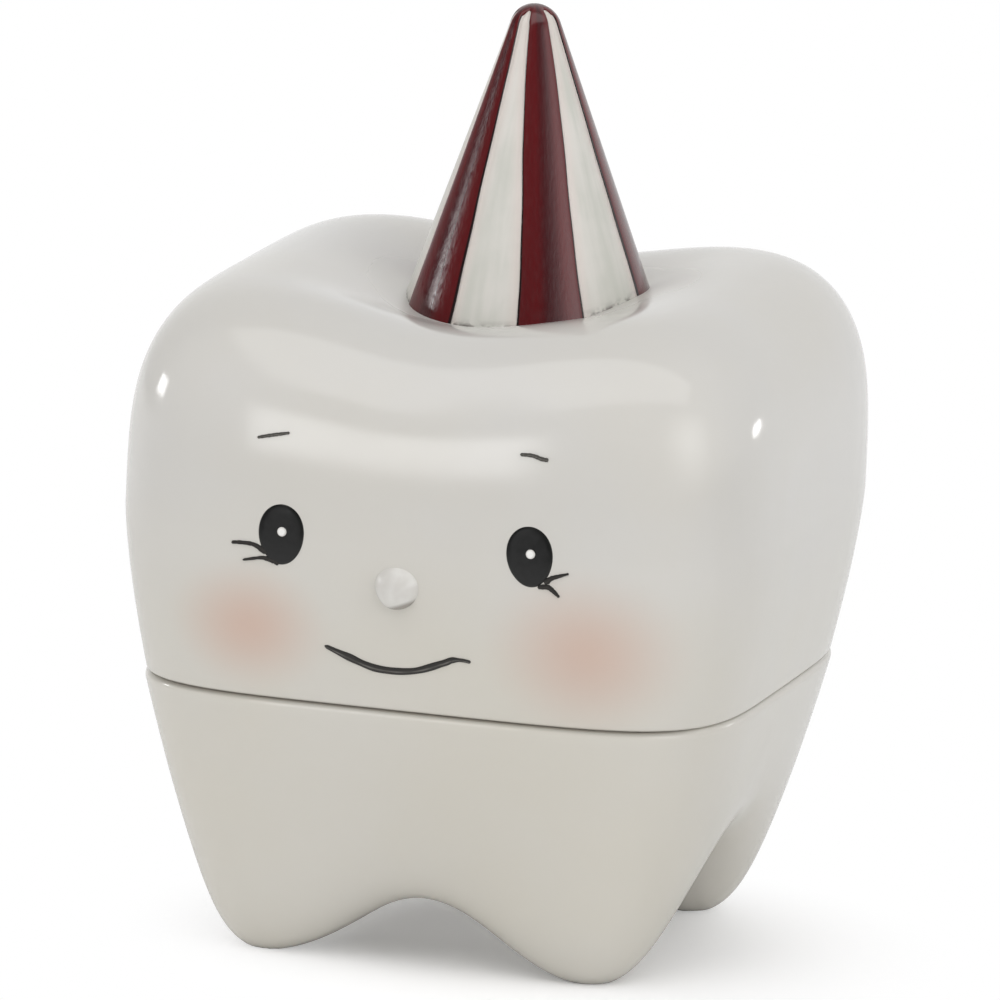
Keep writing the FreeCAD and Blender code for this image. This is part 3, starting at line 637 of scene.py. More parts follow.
STRIPE_SPREADS, SPREAD_POWER = np.array([0.0, 0.72, 0.1, 0.3, 0.3]), 2.3


def in_hat_frame(radius, angle, height):
    """Point at a radius, angle and height of the leaning hat."""
    x, y = (radius * np.cos(angle))[..., None], (radius * np.sin(angle))[..., None]
    return HAT_SEAT + x * HAT_ACROSS + y * HAT_BACK + np.asarray(height)[..., None] * HAT_UP


def on_hat_axis(height):
    """Point on the hat's axis."""
    return in_hat_frame(np.array(0.0), np.array(0.0), height)


def flank_radius(height):
    """Radius of the cone's straight flank at a height."""
    return TANGENT_RADIUS + (TANGENT_HEIGHT - height) * np.tan(FLANK)


def foot_height(angle):
    """Height at which the flank meets the crown in each direction."""
    height = np.zeros_like(angle)
    for _ in range(30):
        point = in_hat_frame(flank_radius(height), angle, height)
        height = height + top_height(point[..., 0], point[..., 1]) - point[..., 2]
    return height


def hat_point(angle, stage, film):
    """Point of the hat's skin, raised by a film.

    Stage 0 to 1 goes up the flank from just below the crown, and stage 1 to 2 goes over the round tip.
    """
    low = foot_height(angle) - 0.5 * HAT_SINK
    height = low + (TANGENT_HEIGHT - low) * np.minimum(stage, 1)
    turn = FLANK + (np.pi / 2 - FLANK) * np.clip(stage - 1, 0, 1)
    on_tip = stage > 1
    base_radius = np.where(on_tip, HAT_TIP * np.cos(turn), flank_radius(height))
    base_height = np.where(on_tip, TIP_MIDDLE + HAT_TIP * np.sin(turn), height)
    return in_hat_frame(base_radius + film * np.cos(turn), angle, base_height + film * np.sin(turn))


def stripe_half(number, stage):
    """Half a panel's angle. The brush keeps its width, so a panel takes more of the cone near the tip."""
    return STRIPE_HALVES[number] * (1 + STRIPE_SPREADS[number] * np.minimum(stage, 1) ** SPREAD_POWER)


def edge_distance(angle, stage):
    """Distance round the hat to the nearest edge between two panels, in millimetres."""
    half = stripe_half(np.arange(len(STRIPE_MIDDLES)), stage[..., None])
    turn = angle[..., None] - STRIPE_MIDDLES
    off = np.abs(np.abs(np.arctan2(np.sin(turn), np.cos(turn))) - half).min(-1)
    height = TANGENT_HEIGHT * np.minimum(stage, 1)
    return off * flank_radius(height)


print("flank leans", np.degrees(FLANK).round(2), "degrees; hat stands to", HAT_SEAT[2] + HAT_HEIGHT)

# %% [markdown]
# ## Brushed cream and dark red on the hat
#
# The hat is painted by hand: cream first, then five dark red panels, whose edges are almost black. Brush
# strokes run up the cone. A surface map that counts round and up the hat lets stretched noise follow them,
# which Object coordinates can't do on a cone. The mesh also carries marks that say how near each point is
# to a panel and to the foot, where a broken line of dark wash gathers. Each red panel also carries a
# painted dark reflection along its middle.

# %% Hat paints
HAT_CREAM = swatch(216, 213, 207)
HAT_GREY = swatch(201, 201, 193)
HAT_PINK = swatch(217, 203, 197)
FOOT_WASH = swatch(62, 50, 44)
RED = swatch(90, 17, 21)
# Darker red for the painted dark reflection along each panel's middle; stroke noise also leans towards it.
RED_DARK = swatch(60, 15, 20)
RED_EDGE = swatch(24, 9, 10)
DARK_REFLECTION_MIDDLE = 0.08


def hat_cream_paint():
    """Cream brushed up the cone over grey, pinkish beside the red, with a broken dark wash at the foot."""
    material, tree, shader = new_finish("hat_cream", IOR=1.48)
    strokes = streaks(tree, around=60.0, along=3.0)
    patches = streaks(tree, around=14.0, along=5.0, detail=3.0)
    both = calc(tree, "ADD", calc(tree, "MULTIPLY", strokes, 0.35), calc(tree, "MULTIPLY", patches, 0.65))
    colour = mixed(tree, remap(tree, both, 0.36, 0.68), HAT_CREAM, HAT_GREY)
    pink = calc(tree, "MULTIPLY", mark_value(tree, "beside"), 0.55)
    colour = mixed(tree, pink, colour, HAT_PINK)
    broken = remap(tree, streaks(tree, around=70.0, along=40.0), 0.4, 0.58)
    wash = calc(tree, "MULTIPLY", mark_value(tree, "wash"), broken)
    colour = mixed(tree, wash, colour, FOOT_WASH)
    gloss = noise_to(tree, strokes, low=0.34, high=0.46)
    brushed = bump(tree, both, distance=0.12 * MM, strength=0.1)
    feed(tree, shader, Base_Color=colour, Roughness=gloss, Normal=brushed)
    return material


def hat_red_paint():
    """Dark red in long strokes, with a painted dark reflection along each panel's middle, almost black
    along its edges.
    """
    material, tree, shader = new_finish("hat_red", IOR=1.6)
    across = mark_value(tree, "across")
    strokes = streaks(tree, around=3.0, along=1.2)
    hairs = streaks(tree, around=36.0, along=34.0, detail=3.0, roughness=0.6)
    # Painted dark reflection: darkest along the panel's middle, brighter towards both edges as if lit
    # there.
    full = remap(tree, gap(tree, across, DARK_REFLECTION_MIDDLE), 0.1, 0.55, 0.2, 1.0)
    full = calc(tree, "ADD", full, noise_to(tree, strokes, low=-0.15, high=0.15))
    colour = mixed(tree, full, RED_DARK, RED)
    edge = remap(tree, gap(tree, across, 0.0), 0.9, 0.965)
    colour = mixed(tree, edge, colour, RED_EDGE)
    gloss = noise_to(tree, hairs, low=0.1, high=0.24)
    brushed = bump(tree, hairs, distance=0.06 * MM, strength=0.25)
    feed(tree, shader, Base_Color=colour, Roughness=gloss, Normal=brushed)
    return material


hat_cream = hat_cream_paint()
hat_red = hat_red_paint()
print("hat paints:", hat_cream.name, hat_red.name)

# %% Make the hat's cone
HAT_COLUMNS = 300
GROOVE, GROOVE_REACH, PINK_REACH = 0.08, 0.16, 0.8
WASH_TOP, WASH_FADE, WASH_FULL = 0.02, 0.007, 0.95
BACK_SEAM = np.radians(120)


def hat_cone():
    """Cream cone with a fine groove along each panel edge, closed below by a pole inside the crown.

    Groove, wash and pink fall off as bell curves: e to the minus square of the distance over a reach.
    """
    angle = (BACK_SEAM + np.linspace(0, 2 * np.pi, HAT_COLUMNS, endpoint=False))[None]
    stage = np.concatenate([np.linspace(0, 1, 70), np.linspace(1, 1.97, 14)[1:]])[:, None]
    angle, stage = np.broadcast_arrays(angle, stage)
    off = edge_distance(angle, stage)
    line = np.exp(-(off / GROOVE_REACH) ** 2)
    rings = hat_point(angle, stage, -GROOVE * line)
    wash = WASH_FULL * np.exp(-(np.maximum(stage - WASH_TOP, 0) / WASH_FADE) ** 2)
    beside = np.exp(-(off / PINK_REACH) ** 2)
    return shell(rings, on_hat_axis(-HAT_SINK - 1), on_hat_axis(HAT_HEIGHT), wash=wash, beside=beside)


piece("hat", [hat_cone()], "lid", ["party_hat"], [hat_cream])

# %% [markdown]
# ## The red panels
#
# Each panel is a thin layer of enamel that stands up a little from the cream, with rounded edges that waver
# as a hand-led brush does. One closed ring goes round the layer's section, over the top and back below, and
# is carried from the foot to the tip. All five meet under a round cap.

# %% Make the panels
STRIPE_FILM, STRIPE_SUNK, EDGE_MARGIN = 0.2, 0.12, 0.16
CAP_FILM, CAP_REACH, CAP_DROP, CAP_SPREAD = 0.19, 0.36, 0.5, 0.42
LAST_RING = 0.1


def section(top_count, low_count):
    """Once round a flat section: places across, from -1 to 1 and back below, and shares of the film."""
    top = np.cos(np.linspace(np.pi, 0, top_count))
    low = np.linspace(1, -1, low_count + 2)[1:-1]
    across = np.concatenate([top, low])
    lift = np.concatenate([swell(top, 8), -np.ones(low_count)])
    return across, lift


def stripe(number):
    """One panel, carried up the cone. Its half width wavers by up to two hundredths, in two sine waves."""
    across, lift = section(40, 12)
    stage = np.concatenate([np.linspace(0, 1, 60), np.linspace(1, 1.9, 10)[1:]])[:, None]
    waver = 0.012 * np.sin(9 * stage + 1.7 * number) + 0.008 * np.sin(23 * stage + number)
    radius = flank_radius(TANGENT_HEIGHT * np.minimum(stage, 1))
    half = stripe_half(number, stage) * (1 + waver) - EDGE_MARGIN / radius
    angle = STRIPE_MIDDLES[number] + half * across
    film = np.where(lift > 0, STRIPE_FILM * lift, STRIPE_SUNK * lift)
    rings = hat_point(angle, stage + 0 * across, film + 0 * angle)
    return shell(rings, rings[0].mean(0), rings[-1].mean(0), across=across)


def over_and_back(over_rows, back_start, back_rows):
    """Shares of the way out for rings over a drop and back below it, and which of them lie on top."""
    over, back = np.linspace(FIRST_RING, 1, over_rows), np.linspace(back_start, LAST_RING, back_rows)
    out = np.concatenate([over, back])[:, None]
    return out, np.arange(len(out))[:, None] < over_rows


def tip_cap():
    """Round cap of red on the tip, lower over the panels, by bell curves, and higher over the cream."""
    angle = np.linspace(0, 2 * np.pi, 120, endpoint=False)[None]
    turn = angle[..., None] - STRIPE_MIDDLES
    off = np.arctan2(np.sin(turn), np.cos(turn))
    reach = CAP_REACH + CAP_DROP * np.exp(-(off / CAP_SPREAD) ** 2).max(-1)
    out, over = over_and_back(over_rows=16, back_start=0.97, back_rows=6)
    film = np.where(over, CAP_FILM * swell(out, 6), -STRIPE_SUNK)
    rings = hat_point(angle + 0 * out, 2 - out * reach, film + 0 * angle)
    top, low = on_hat_axis(HAT_HEIGHT + CAP_FILM), on_hat_axis(HAT_HEIGHT - STRIPE_SUNK)
    return shell(rings, top, low, across=np.where(over, out * 0.7, 0) + 0 * angle)


panels = [stripe(number) for number in range(len(STRIPE_MIDDLES))]
piece("stripes", panels + [tip_cap()], "lid", ["hat_stripes"], [hat_red])

# %% [markdown]
# ## Paint that lies on the crown's front
#
# Eyes, lashes, brows and mouth are brushed on. A flat decal would need a picture, so each is a thin drop of
# enamel instead, which catches the light at its edge as thick paint does. A painter thinks in two
# directions on the face, across and up. The crown's formula then gives the depth, and its slope the
# direction in which the film stands.

# %% Put points on the crown's front
FACE_SLOPE_STEP = 0.05


def front_depth(x, height):
    """Depth of the crown's front at a place of the face.

    Below the widest level the plan's formula is solved for y. Above it, halving an interval finds where the
    top is as high as the place.
    """
    half = HALF - wall_inset(height)
    below = -half * (1 - np.minimum(np.abs(x / half), 1) ** PLAN_POWER) ** (1 / PLAN_POWER)
    outer, inner = np.full_like(x, -HALF), np.full_like(x, -0.3 * HALF)
    for _ in range(45):
        middle = (outer + inner) / 2
        inside = top_height(x, middle) > height
        outer, inner = np.where(inside, outer, middle), np.where(inside, middle, inner)
    return np.where(height <= WIDEST, below, inner)


def on_face(x, height, lift):
    """Point of the crown's front, raised along the surface's normal by a lift."""
    x, height, lift = np.broadcast_arrays(x, height, lift)
    step = FACE_SLOPE_STEP
    depth = front_depth(x, height)
    slope_x = (front_depth(x + step, height) - front_depth(x - step, height)) / (2 * step)
    slope_z = (front_depth(x, height + step) - front_depth(x, height - step)) / (2 * step)
    normal = np.stack([slope_x, -np.ones_like(x), slope_z], -1)
    normal /= np.linalg.norm(normal, axis=-1, keepdims=True)
    return np.stack([x, depth, height], -1) + lift[..., None] * normal


print("foremost depth of the face:", front_depth(np.array(0.0), np.array(WIDEST)).round(2))

# %% [markdown]
# ## Eyes with their white dots
#
# An eye is an egg-shaped drop of black enamel, fuller at the top. The drop is a lens: rings grow from its
# middle to its rim and return below the glaze, so it is closed. The white dot is a smaller lens on top of
# it.

# %% Make the eyes
FACE_SHIFT = 0.2
EYE_SPREAD, EYE_LEVEL, EYE_STEP = 13.43, SEAM + 18.05, 0.15
EYE_HALF_WIDTH, EYE_HALF_HEIGHT, EYE_EGG = 2.47, 3.2, 0.07
FILM, SUNK = 0.2, 0.06
GLINT_RADIUS, GLINT_FILM, GLINT_RISE, GLINT_STEP = 0.5, 0.15, 0.35, 0.13


def lens(x, height, half_width, half_height, egg, tilt, low, film):
    """Egg-shaped drop on the face: a tilted ellipse that is wider towards the top by the egg's share."""
    around = np.linspace(0, 2 * np.pi, 96, endpoint=False)[None]
    out, over = over_and_back(over_rows=18, back_start=0.95, back_rows=5)
    lift = np.where(over, low + film * swell(out, 5), low - SUNK)
    side = out * half_width * np.cos(around) * (1 + egg * out * np.sin(around))
    up = out * half_height * np.sin(around)
    across = side * np.cos(tilt) - up * np.sin(tilt)
    upwards = side * np.sin(tilt) + up * np.cos(tilt)
    rings = on_face(x + across, height + upwards, lift)
    middle = np.array(x), np.array(height)
    top, under = (on_face(*middle, np.array(value)) for value in (low + film, low - SUNK))
    return shell(rings, top, under, edge=np.where(over, out, 0) + 0 * around)


def eye_enamel():
    """Black enamel, deepest along its rim and a little grey and brushed inside."""
    material, tree, shader = new_finish("eye_black", IOR=1.5)
    brushed = speckle(tree, object_place(tree), scale=1400.0, detail=3.0)
    inner = mixed(tree, noise_to(tree, brushed), swatch(8, 8, 8), swatch(20, 20, 20))
    rim = remap(tree, mark_value(tree, "edge"), 0.7, 0.95)
    colour = mixed(tree, rim, inner, swatch(5, 5, 4))
    gloss = noise_to(tree, brushed, low=0.3, high=0.45)
    uneven = bump(tree, brushed, distance=0.05 * MM, strength=0.2)
    feed(tree, shader, Base_Color=colour, Roughness=gloss, Normal=uneven)
    return material


def dot_white():
    """White enamel, a little cream where it is thin."""
    material, tree, shader = new_finish("glint_white", IOR=1.5, Roughness=0.3)
    thin = remap(tree, mark_value(tree, "edge"), 0.5, 1.0)
    feed(tree, shader, Base_Color=mixed(tree, thin, swatch(238, 237, 234), swatch(205, 203, 198)))
    return material


eye_black = eye_enamel()
glint_white = dot_white()
glints = []
for node, side, tilt in (("eye_left", -1, 0.0), ("eye_right", 1, np.radians(6))):
    middle_x, middle_z = FACE_SHIFT + side * EYE_SPREAD, EYE_LEVEL + side * EYE_STEP
    drop = lens(middle_x, middle_z, EYE_HALF_WIDTH, EYE_HALF_HEIGHT, EYE_EGG, tilt, 0.0, FILM)
    piece(f"{node}_paint", [drop], "lid", [node], [eye_black])
    dot_place = middle_x + GLINT_STEP, middle_z + GLINT_RISE
    glints.append(lens(*dot_place, GLINT_RADIUS, GLINT_RADIUS, 0.0, 0.0, FILM, GLINT_FILM))
piece("eye_dots", glints, "lid", ["eye_glints"], [glint_white])

# %% [markdown]
# ## Brush strokes
#
# Lashes, brows and mouth are single strokes of a fine brush. A stroke has a line, chosen by a few given
# points, and a width that swells and thins along it. A smooth cubic joins the points, and the flat section
# of a film is carried along it on the crown.

# %% Make the strokes
STROKE_FILM, STROKE_SUNK = 0.13, 0.05
STREAK_PLACE, STREAK_REACH = -0.15, 0.4
LASHES = (
    (((-14.75, 45.3), (-15.84, 45.9), (-16.57, 46.1), (-17.85, 46.1), (-18.65, 46.02)),
     (0.7, 0.46, 0.42, 0.34)),
    (((-13.4, 44.24), (-13.99, 44.5), (-14.83, 44.69), (-15.51, 44.69), (-17.4, 44.27)),
     (0.5, 0.56, 0.4, 0.26)),
    (((15.3, 45.1), (16.0, 45.65), (16.75, 45.95), (17.85, 46.33)), (0.75, 0.5, 0.42, 0.2)),
    (((14.6, 44.6), (15.61, 44.7), (16.18, 44.38), (16.9, 43.73)), (0.5, 0.56, 0.5, 0.28)),
)
BROWS = (
    (((-16.35, 57.3), (-14.7, 57.71), (-12.9, 58.1)), (0.3, 0.36, 0.36, 0.28)),
    (((12.0, 58.25), (13.28, 58.26), (14.33, 58.0), (15.05, 57.93)), (0.34, 0.4, 0.44, 0.4)),
)
MOUTH = (
    (((-8.4, 35.9), (-5.88, 34.96), (-2.71, 33.98), (1.07, 34.09), (4.36, 35.27), (5.42, 35.75),
      (6.49, 35.86), (7.45, 35.74)), (0.4, 0.84, 0.76, 0.74, 0.72, 0.4, 0.32)),
)


def curve_through(points, count):
    """Smooth line through points: cubics whose slope at a point is half the step between its neighbours."""
    knots = np.array(points, float)
    padded = np.concatenate([[2 * knots[0] - knots[1]], knots, [2 * knots[-1] - knots[-2]]])
    place = np.linspace(0, len(knots) - 1, count)
    first = np.minimum(place.astype(int), len(knots) - 2)
    share = (place - first)[:, None]
    a, b, c, d = (padded[first + offset] for offset in range(4))
    return b + 0.5 * share * (c - a + share * (2 * a - 5 * b + 4 * c - d + share * (3 * (b - c) + d - a)))


def stroke(points, widths):
    """Stroke of a brush on the crown: a flat section along a line, with round ends and an uneven width."""
    line = curve_through(points, 70)
    share = np.linspace(0, 1, len(line))
    width = np.interp(share, np.linspace(0, 1, len(widths)), widths)
    length = np.hypot(*np.diff(line, axis=0).T).sum()
    to_end = np.minimum(share, 1 - share) * length / (0.5 * width)
    width = width * np.sqrt(np.clip(to_end, 0.02, 1) * (2 - np.clip(to_end, 0.02, 1)))
    width = width * (1 + 0.05 * np.sin(31 * share + line[0, 0]) + 0.04 * np.sin(53 * share))
    along = np.gradient(line, axis=0)
    along /= np.linalg.norm(along, axis=1, keepdims=True)
    aside = np.stack([-along[:, 1], along[:, 0]], -1)
    across, lift = section(15, 5)
    place = line[:, None] + aside[:, None] * (across * width[:, None] / 2)[..., None]
    film = np.where(lift > 0, STROKE_FILM * lift, STROKE_SUNK * lift)
    rings = on_face(place[..., 0], place[..., 1], film)
    return shell(rings, rings[0].mean(0), rings[-1].mean(0), across=across)


def brush_line(name, full, thin, streak):
    """Dark brown-black paint with a paler, broken streak along the stroke."""
    material, tree, shader = new_finish(name, IOR=1.5, Roughness=0.42)
    bristles = streaks(tree, around=3.0, along=9.0, detail=3.0)
    off_streak = gap(tree, mark_value(tree, "across"), STREAK_PLACE)
    broken = remap(tree, bristles, 0.35, 0.65, 0.2, streak)
    pale = calc(tree, "MULTIPLY", remap(tree, off_streak, STREAK_REACH, 0.0), broken)
    feed(tree, shader, Base_Color=mixed(tree, pale, full, thin))
    return material


line_dark = brush_line("line_dark", swatch(33, 30, 26), swatch(112, 109, 104), 0.85)
lash_dark = brush_line("lash_dark", swatch(26, 22, 18), swatch(70, 62, 55), 0.35)
brow_grey = brush_line("brow_grey", swatch(62, 59, 54), swatch(120, 117, 110), 0.8)
piece("lash_strokes", [stroke(*lash) for lash in LASHES], "lid", ["lashes"], [lash_dark])
piece("brow_strokes", [stroke(*brow) for brow in BROWS], "lid", ["brows"], [brow_grey])
piece("mouth_stroke", [stroke(*line) for line in MOUTH], "lid", ["mouth"], [line_dark])

# %% [markdown]
# ## The nose
#
# A small egg-shaped bead is set into the face and painted pearl white. A sphere stretched upwards would do.
# It is worked out as rings here so that it is closed and smooth at both poles, and so that it can stand out
# more at its lower end and be fuller there, as a drop of thick paint is.

# %% Make the nose
NOSE_X, NOSE_LEVEL = -0.6, SEAM + 13.85
NOSE_HALF_WIDTH, NOSE_HALF_DEPTH, NOSE_HALF_HEIGHT = 2.6, 2.25, 2.65
NOSE_BEHIND, NOSE_LEAN, NOSE_FULLNESS = 0.95, 0.9, 0.1
CREASE_SIDE = (0.35, 0.0, -0.94)
CREASE_FROM, CREASE_TO, CREASE_SHARE = 1.85, 2.35, 0.6


def nose_bead():
    """Bead of rings from top to bottom: a turned ellipse, fuller and farther forward in its lower half."""
    polar = np.linspace(0, np.pi, 50)[1:-1, None]
    around = np.linspace(0, 2 * np.pi, 72, endpoint=False)[None]
    round_off = np.sin(polar + NOSE_FULLNESS * np.sin(polar) ** 2)
    depth = -(HALF - wall_inset(np.array(NOSE_LEVEL)) - NOSE_BEHIND)
    x = NOSE_X + NOSE_HALF_WIDTH * round_off * np.cos(around)
    y = depth + NOSE_HALF_DEPTH * round_off * np.sin(around) + NOSE_LEAN * np.cos(polar)
    z = NOSE_LEVEL + NOSE_HALF_HEIGHT * np.cos(polar) + 0 * around
    middle = np.array([NOSE_X, float(depth), NOSE_LEVEL])
    to_top = np.array([0, NOSE_LEAN, NOSE_HALF_HEIGHT])
    return shell(np.stack([x, y, z], -1), middle + to_top, middle - to_top)


def pearl():
    """Pearl white under a clear coat. A painted shadow darkens the crease under its lower right side."""
    material, tree, shader = new_finish("nose_pearl", IOR=1.6, Roughness=0.27)
    place = object_place(tree)
    cloud = remap(tree, speckle(tree, place, scale=500.0), 0.35, 0.65)
    colour = mixed(tree, cloud, swatch(213, 211, 206), swatch(206, 203, 198))
    middle = (NOSE_X * MM, 0.0, NOSE_LEVEL * MM)
    # Painted shadow: the bead's lower right rim is darkened where it meets the face.
    below = dot_product(tree, vector_calc(tree, "SUBTRACT", place, middle), CREASE_SIDE)
    crease = remap(tree, below, CREASE_FROM * MM, CREASE_TO * MM, 0.0, CREASE_SHARE)
    feed(tree, shader, Base_Color=mixed(tree, crease, colour, PAINTED_SHADE))
    return material


piece("nose", [nose_bead()], "lid", ["nose_bead"], [pearl()])

# %% [markdown]
# ## Floor and room
#
# The photograph is a product shot on white paper, in a large soft light from all round. The paper could
# simply be lit until it is white, but then the box would be too bright. So the floor and the room look
# white to the camera by themselves, the floor keeps the shadow under the roots, and the world lights the
# box at a plain level. Glossy paint mirrors a white backdrop behind the box and a dim room behind the
# camera.

# %% Floor
FLOOR_HALF = 4.0
FLOOR_COLOUR = (0.94, 0.94, 0.94, 1)
SHADE_COLOUR = (1.15, 1.15, 1.16, 1)
SHADE_MIDDLE, SHADE_START, SHADE_END, SHADE_LIFT = (0.008, -0.006, 0.0), 0.016, 0.046, 0.15
NEAR_FLOOR, FAR_FLOOR = 0.1, 0.4
STUDIO_DARK, STUDIO_BACK, PAPER_SIDE = 0.1, 0.92, (-0.25, 0.95, 0.0)
BACKDROP_FROM, BACKDROP_TO = -0.3, 0.7


def backdrop(tree, direction, white_side):
    """Brightness that the glaze mirrors: dark behind the camera, and white paper on the given side."""
    share = dot_product(tree, direction, white_side)
    return remap(tree, share, BACKDROP_FROM, BACKDROP_TO, STUDIO_DARK, STUDIO_BACK)


def ray_kinds(tree):
    """Whether the camera looks here, and whether the place is seen in a mirroring or clear surface."""
    path = add(tree, "LightPath")
    mirrored = calc(tree, "MAXIMUM", path.outputs["Is Glossy Ray"], path.outputs["Is Transmission Ray"])
    return path.outputs["Is Camera Ray"], mirrored


def floor_paper():
    """White paper. To the camera it keeps the shadow near the box and turns even white farther out."""
    material = bpy.data.materials.new("floor_paper")
    material.use_nodes = True
    tree = material.node_tree
    tree.nodes.remove(tree.nodes["Principled BSDF"])
    looked_at, mirrored = ray_kinds(tree)
    place = object_place(tree)
    shaded = add(tree, "BsdfDiffuse", {"Color": mixed(tree, looked_at, FLOOR_COLOUR, SHADE_COLOUR)})
    outwards = add(tree, "VectorMath", {0: place}, operation="NORMALIZE").outputs["Vector"]
    level = calc(tree, "MULTIPLY", mirrored, backdrop(tree, outwards, PAPER_SIDE))
    white = add(tree, "Emission", {"Color": (1, 1, 1, 1), "Strength": calc(tree, "ADD", level, looked_at)})
    off_shade = length_of(tree, vector_calc(tree, "SUBTRACT", place, SHADE_MIDDLE))
    fade = remap(tree, off_shade, SHADE_START, SHADE_END, SHADE_LIFT, 1.0)
    distant = calc(tree, "MULTIPLY", mirrored, remap(tree, length_of(tree, place), NEAR_FLOOR, FAR_FLOOR))
    even = calc(tree, "ADD", calc(tree, "MULTIPLY", looked_at, fade), distant)
    paper = add(tree, "MixShader", {0: even, 1: shaded.outputs["BSDF"], 2: white.outputs["Emission"]})
    tree.links.new(paper.outputs["Shader"], tree.nodes["Material Output"].inputs["Surface"])
    return material


floor_mesh = bpy.data.meshes.new("floor")
corners = np.array([(-1, -1, 0), (1, -1, 0), (1, 1, 0), (-1, 1, 0)]) * FLOOR_HALF
floor_mesh.from_pydata(corners.tolist(), [], [(0, 1, 2, 3)])
floor_mesh.materials.append(floor_paper())
floor = bpy.data.objects.new("floor", floor_mesh)
bpy.context.scene.collection.objects.link(floor)
print("floor:", 2 * FLOOR_HALF, "m wide")

# %% Room
WORLD_LIGHT, LIGHT_LEAN, WALL_SIDE = 0.72, (-0.2, -0.12, -0.52), (0.4, 0.9, 0.0)

world = bpy.data.worlds.new("studio")
world.use_nodes = True
bpy.context.scene.world = world
room = world.node_tree
sky = room.nodes["Background"]
sky.inputs["Color"].default_value = (1, 1, 1, 1)
looked_at, mirrored = ray_kinds(room)
direction = add(room, "TexCoord").outputs["Generated"]
seen = calc(room, "ADD", looked_at, calc(room, "MULTIPLY", mirrored, backdrop(room, direction, WALL_SIDE)))
lean = dot_product(room, direction, LIGHT_LEAN)
soft = calc(room, "MULTIPLY", calc(room, "ADD", 1.0, lean), WORLD_LIGHT)
even = calc(room, "MULTIPLY", calc(room, "SUBTRACT", 1.0, calc(room, "ADD", looked_at, mirrored)), soft)
room.links.new(calc(room, "ADD", seen, even), sky.inputs["Strength"])
bpy.context.scene.view_settings.view_transform = "Standard"
print("room light:", WORLD_LIGHT)

# %% [markdown]
# ## Soft boxes
#
# A few soft boxes show in the glaze as pale bands on the shoulder and as small bright windows at the
# corners. They are area lamps with a given brightness, placed by the direction in which the glaze mirrors
# them, and they fade at their edges as cloth over a lamp does. A fill behind the box, which nothing
# mirrors, lights its back.

# %% Lamps
TARGET = np.array([0.0, 0.0, 0.05])


def towards(azimuth, elevation):
    """Direction from the object: azimuth 0 is in front of the face and 90 is to its right."""
    a, e = np.radians(azimuth), np.radians(elevation)
    return np.array([np.sin(a) * np.cos(e), -np.cos(a) * np.cos(e), np.sin(e)])


def facing(back):
    """Right and up directions of something that looks along the opposite of back and stands upright."""
    right = np.cross((0, 0, 1), back)
    right /= np.linalg.norm(right)
    return right, np.cross(back, right)


def placed(item, right, up, back, place):
    """Put a lamp or camera at a place with its three axes."""
    matrix = np.eye(4)
    matrix[:3, 0], matrix[:3, 1], matrix[:3, 2], matrix[:3, 3] = right, up, back, place
    item.matrix_world = Matrix(matrix.tolist())


def aimed(azimuth, elevation, distance):
    """Place and axes of a lamp that looks at the object from a direction."""
    back = towards(azimuth, elevation)
    return TARGET + distance * back, (*facing(back), back)


def tipped(turn, tip, tilt, right, up, distance):
    """Place and axes of a lamp overhead: turned on the spot, tipped, tilted and slid in its own plane."""
    turns = ((tilt, "Y"), (tip, "X"), (turn, "Z"))
    tilt_y, tip_x, turn_z = (np.array(Matrix.Rotation(np.radians(angle), 3, axis)) for angle, axis in turns)
    axes = (tilt_y @ tip_x @ turn_z).T
    return TARGET + distance * (right * axes[0] + up * axes[1] + axes[2]), tuple(axes)


def fade_out(lamp, fade):
    """Let a lamp's brightness fall smoothly to nothing at its edges, over a share of its size."""
    lamp.use_nodes = True
    tree = lamp.node_tree
    place = add(tree, "SeparateXYZ", {"Vector": add(tree, "NewGeometry").outputs["Parametric"]})
    level = 1.0
    for side in ("X", "Y"):
        off_middle = gap(tree, place.outputs[side], 0.5)
        level = calc(tree, "MULTIPLY", level, remap(tree, off_middle, 0.5, 0.5 - fade))
    tree.links.new(level, tree.nodes["Emission"].inputs["Strength"])


def soft_box(name, place_and_axes, width, height, brightness, fade):
    """Rectangular lamp. Its power is its brightness times pi times its area."""
    lamp = bpy.data.lights.new(name, "AREA")
    lamp.shape = "RECTANGLE"
    lamp.size, lamp.size_y = width, height
    lamp.energy = brightness * np.pi * width * height
    fade_out(lamp, fade)
    item = bpy.data.objects.new(name, lamp)
    bpy.context.scene.collection.objects.link(item)
    place, axes = place_and_axes
    placed(item, *axes, place)
    print(f"{name}: {lamp.energy:.2f} W")
    return item


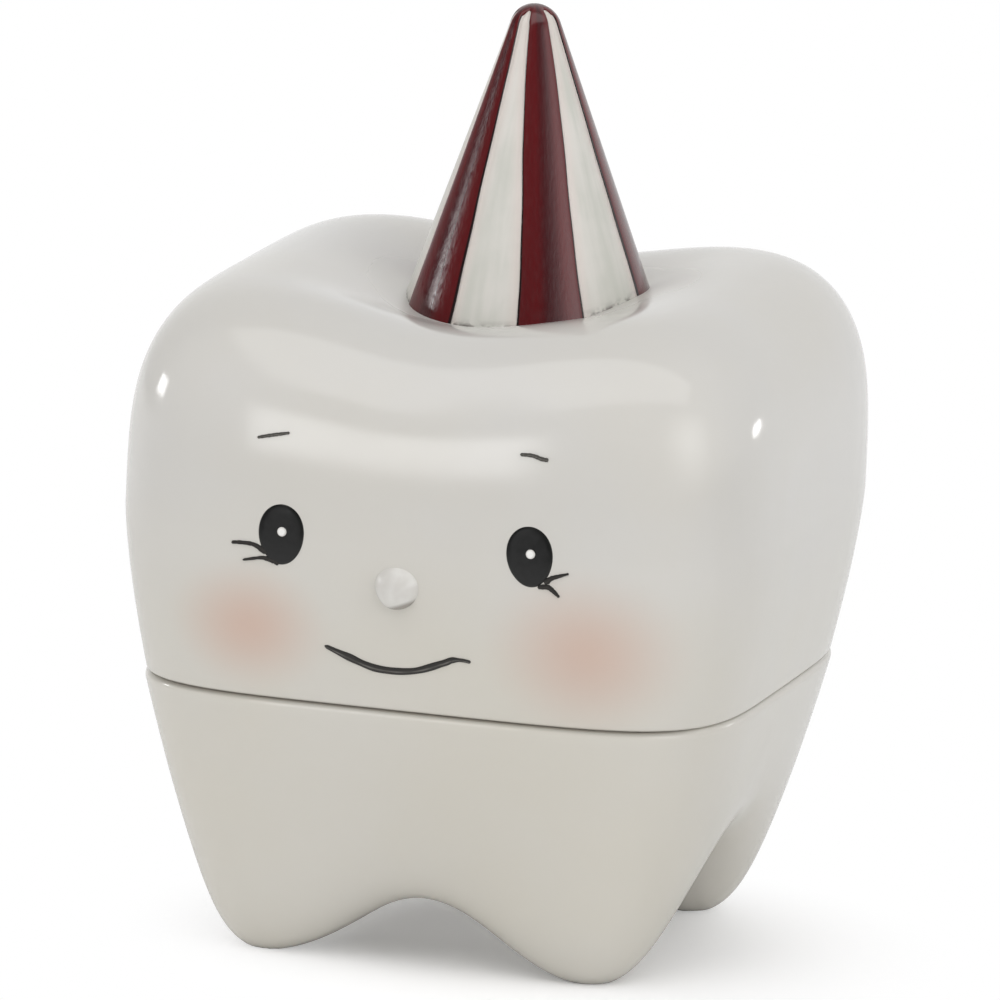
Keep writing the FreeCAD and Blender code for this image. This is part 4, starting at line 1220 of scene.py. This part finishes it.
bank = tipped(turn=6.5, tip=28.3, tilt=-24.0, right=1.15, up=0.0, distance=0.9)
soft_box("bank_above", bank, width=2.34, height=0.9, brightness=1.3, fade=0.05)
soft_box("panel_front_left", aimed(-18.5, 7, 1.0), width=0.29, height=0.45, brightness=3.6, fade=0.33)
soft_box("panel_right", aimed(63, 17, 1.0), width=1.2, height=0.9, brightness=2.5, fade=0.5)
soft_box("window_left", aimed(-85, 10.8, 0.9), width=0.24, height=0.14, brightness=11.0, fade=0.2)
soft_box("window_right", aimed(141, 2, 0.9), width=0.13, height=0.045, brightness=14.0, fade=0.25)
fill = soft_box("fill_behind", aimed(-165, 5, 1.2), width=1.2, height=0.9, brightness=2.4, fade=0.25)
fill.visible_glossy = False

# %% [markdown]
# ## The camera
#
# The camera stands far away with a long lens, a little to the right of the face and above it, and is rolled
# slightly. The lens comes from the focal length in pixels of a picture that is 1000 pixels wide.

# %% Camera
CAMERA_AZIMUTH, CAMERA_ELEVATION, CAMERA_ROLL = 16.091, 11.017, np.radians(2.622)
CAMERA_DISTANCE, FOCAL_PIXELS, IMAGE_PIXELS = 1.317138, 12423.615, 1000
CAMERA_AIM = np.array([0.0, 0.0, 0.04629])
CAMERA_SIDE_STEP = 0.000101

camera_data = bpy.data.cameras.new("camera")
camera_data.sensor_width = 36
camera_data.lens = FOCAL_PIXELS / IMAGE_PIXELS * camera_data.sensor_width
camera_data.clip_start, camera_data.clip_end = 0.05, 50
camera = bpy.data.objects.new("camera", camera_data)
bpy.context.scene.collection.objects.link(camera)
back = towards(CAMERA_AZIMUTH, CAMERA_ELEVATION)
right, up = facing(back)
camera_place = CAMERA_AIM + CAMERA_SIDE_STEP * right + CAMERA_DISTANCE * back
rolled_right = right * np.cos(CAMERA_ROLL) + up * np.sin(CAMERA_ROLL)
rolled_up = up * np.cos(CAMERA_ROLL) - right * np.sin(CAMERA_ROLL)
placed(camera, rolled_right, rolled_up, back, camera_place)
bpy.context.scene.camera = camera
print("camera lens", round(camera_data.lens, 1), "mm")
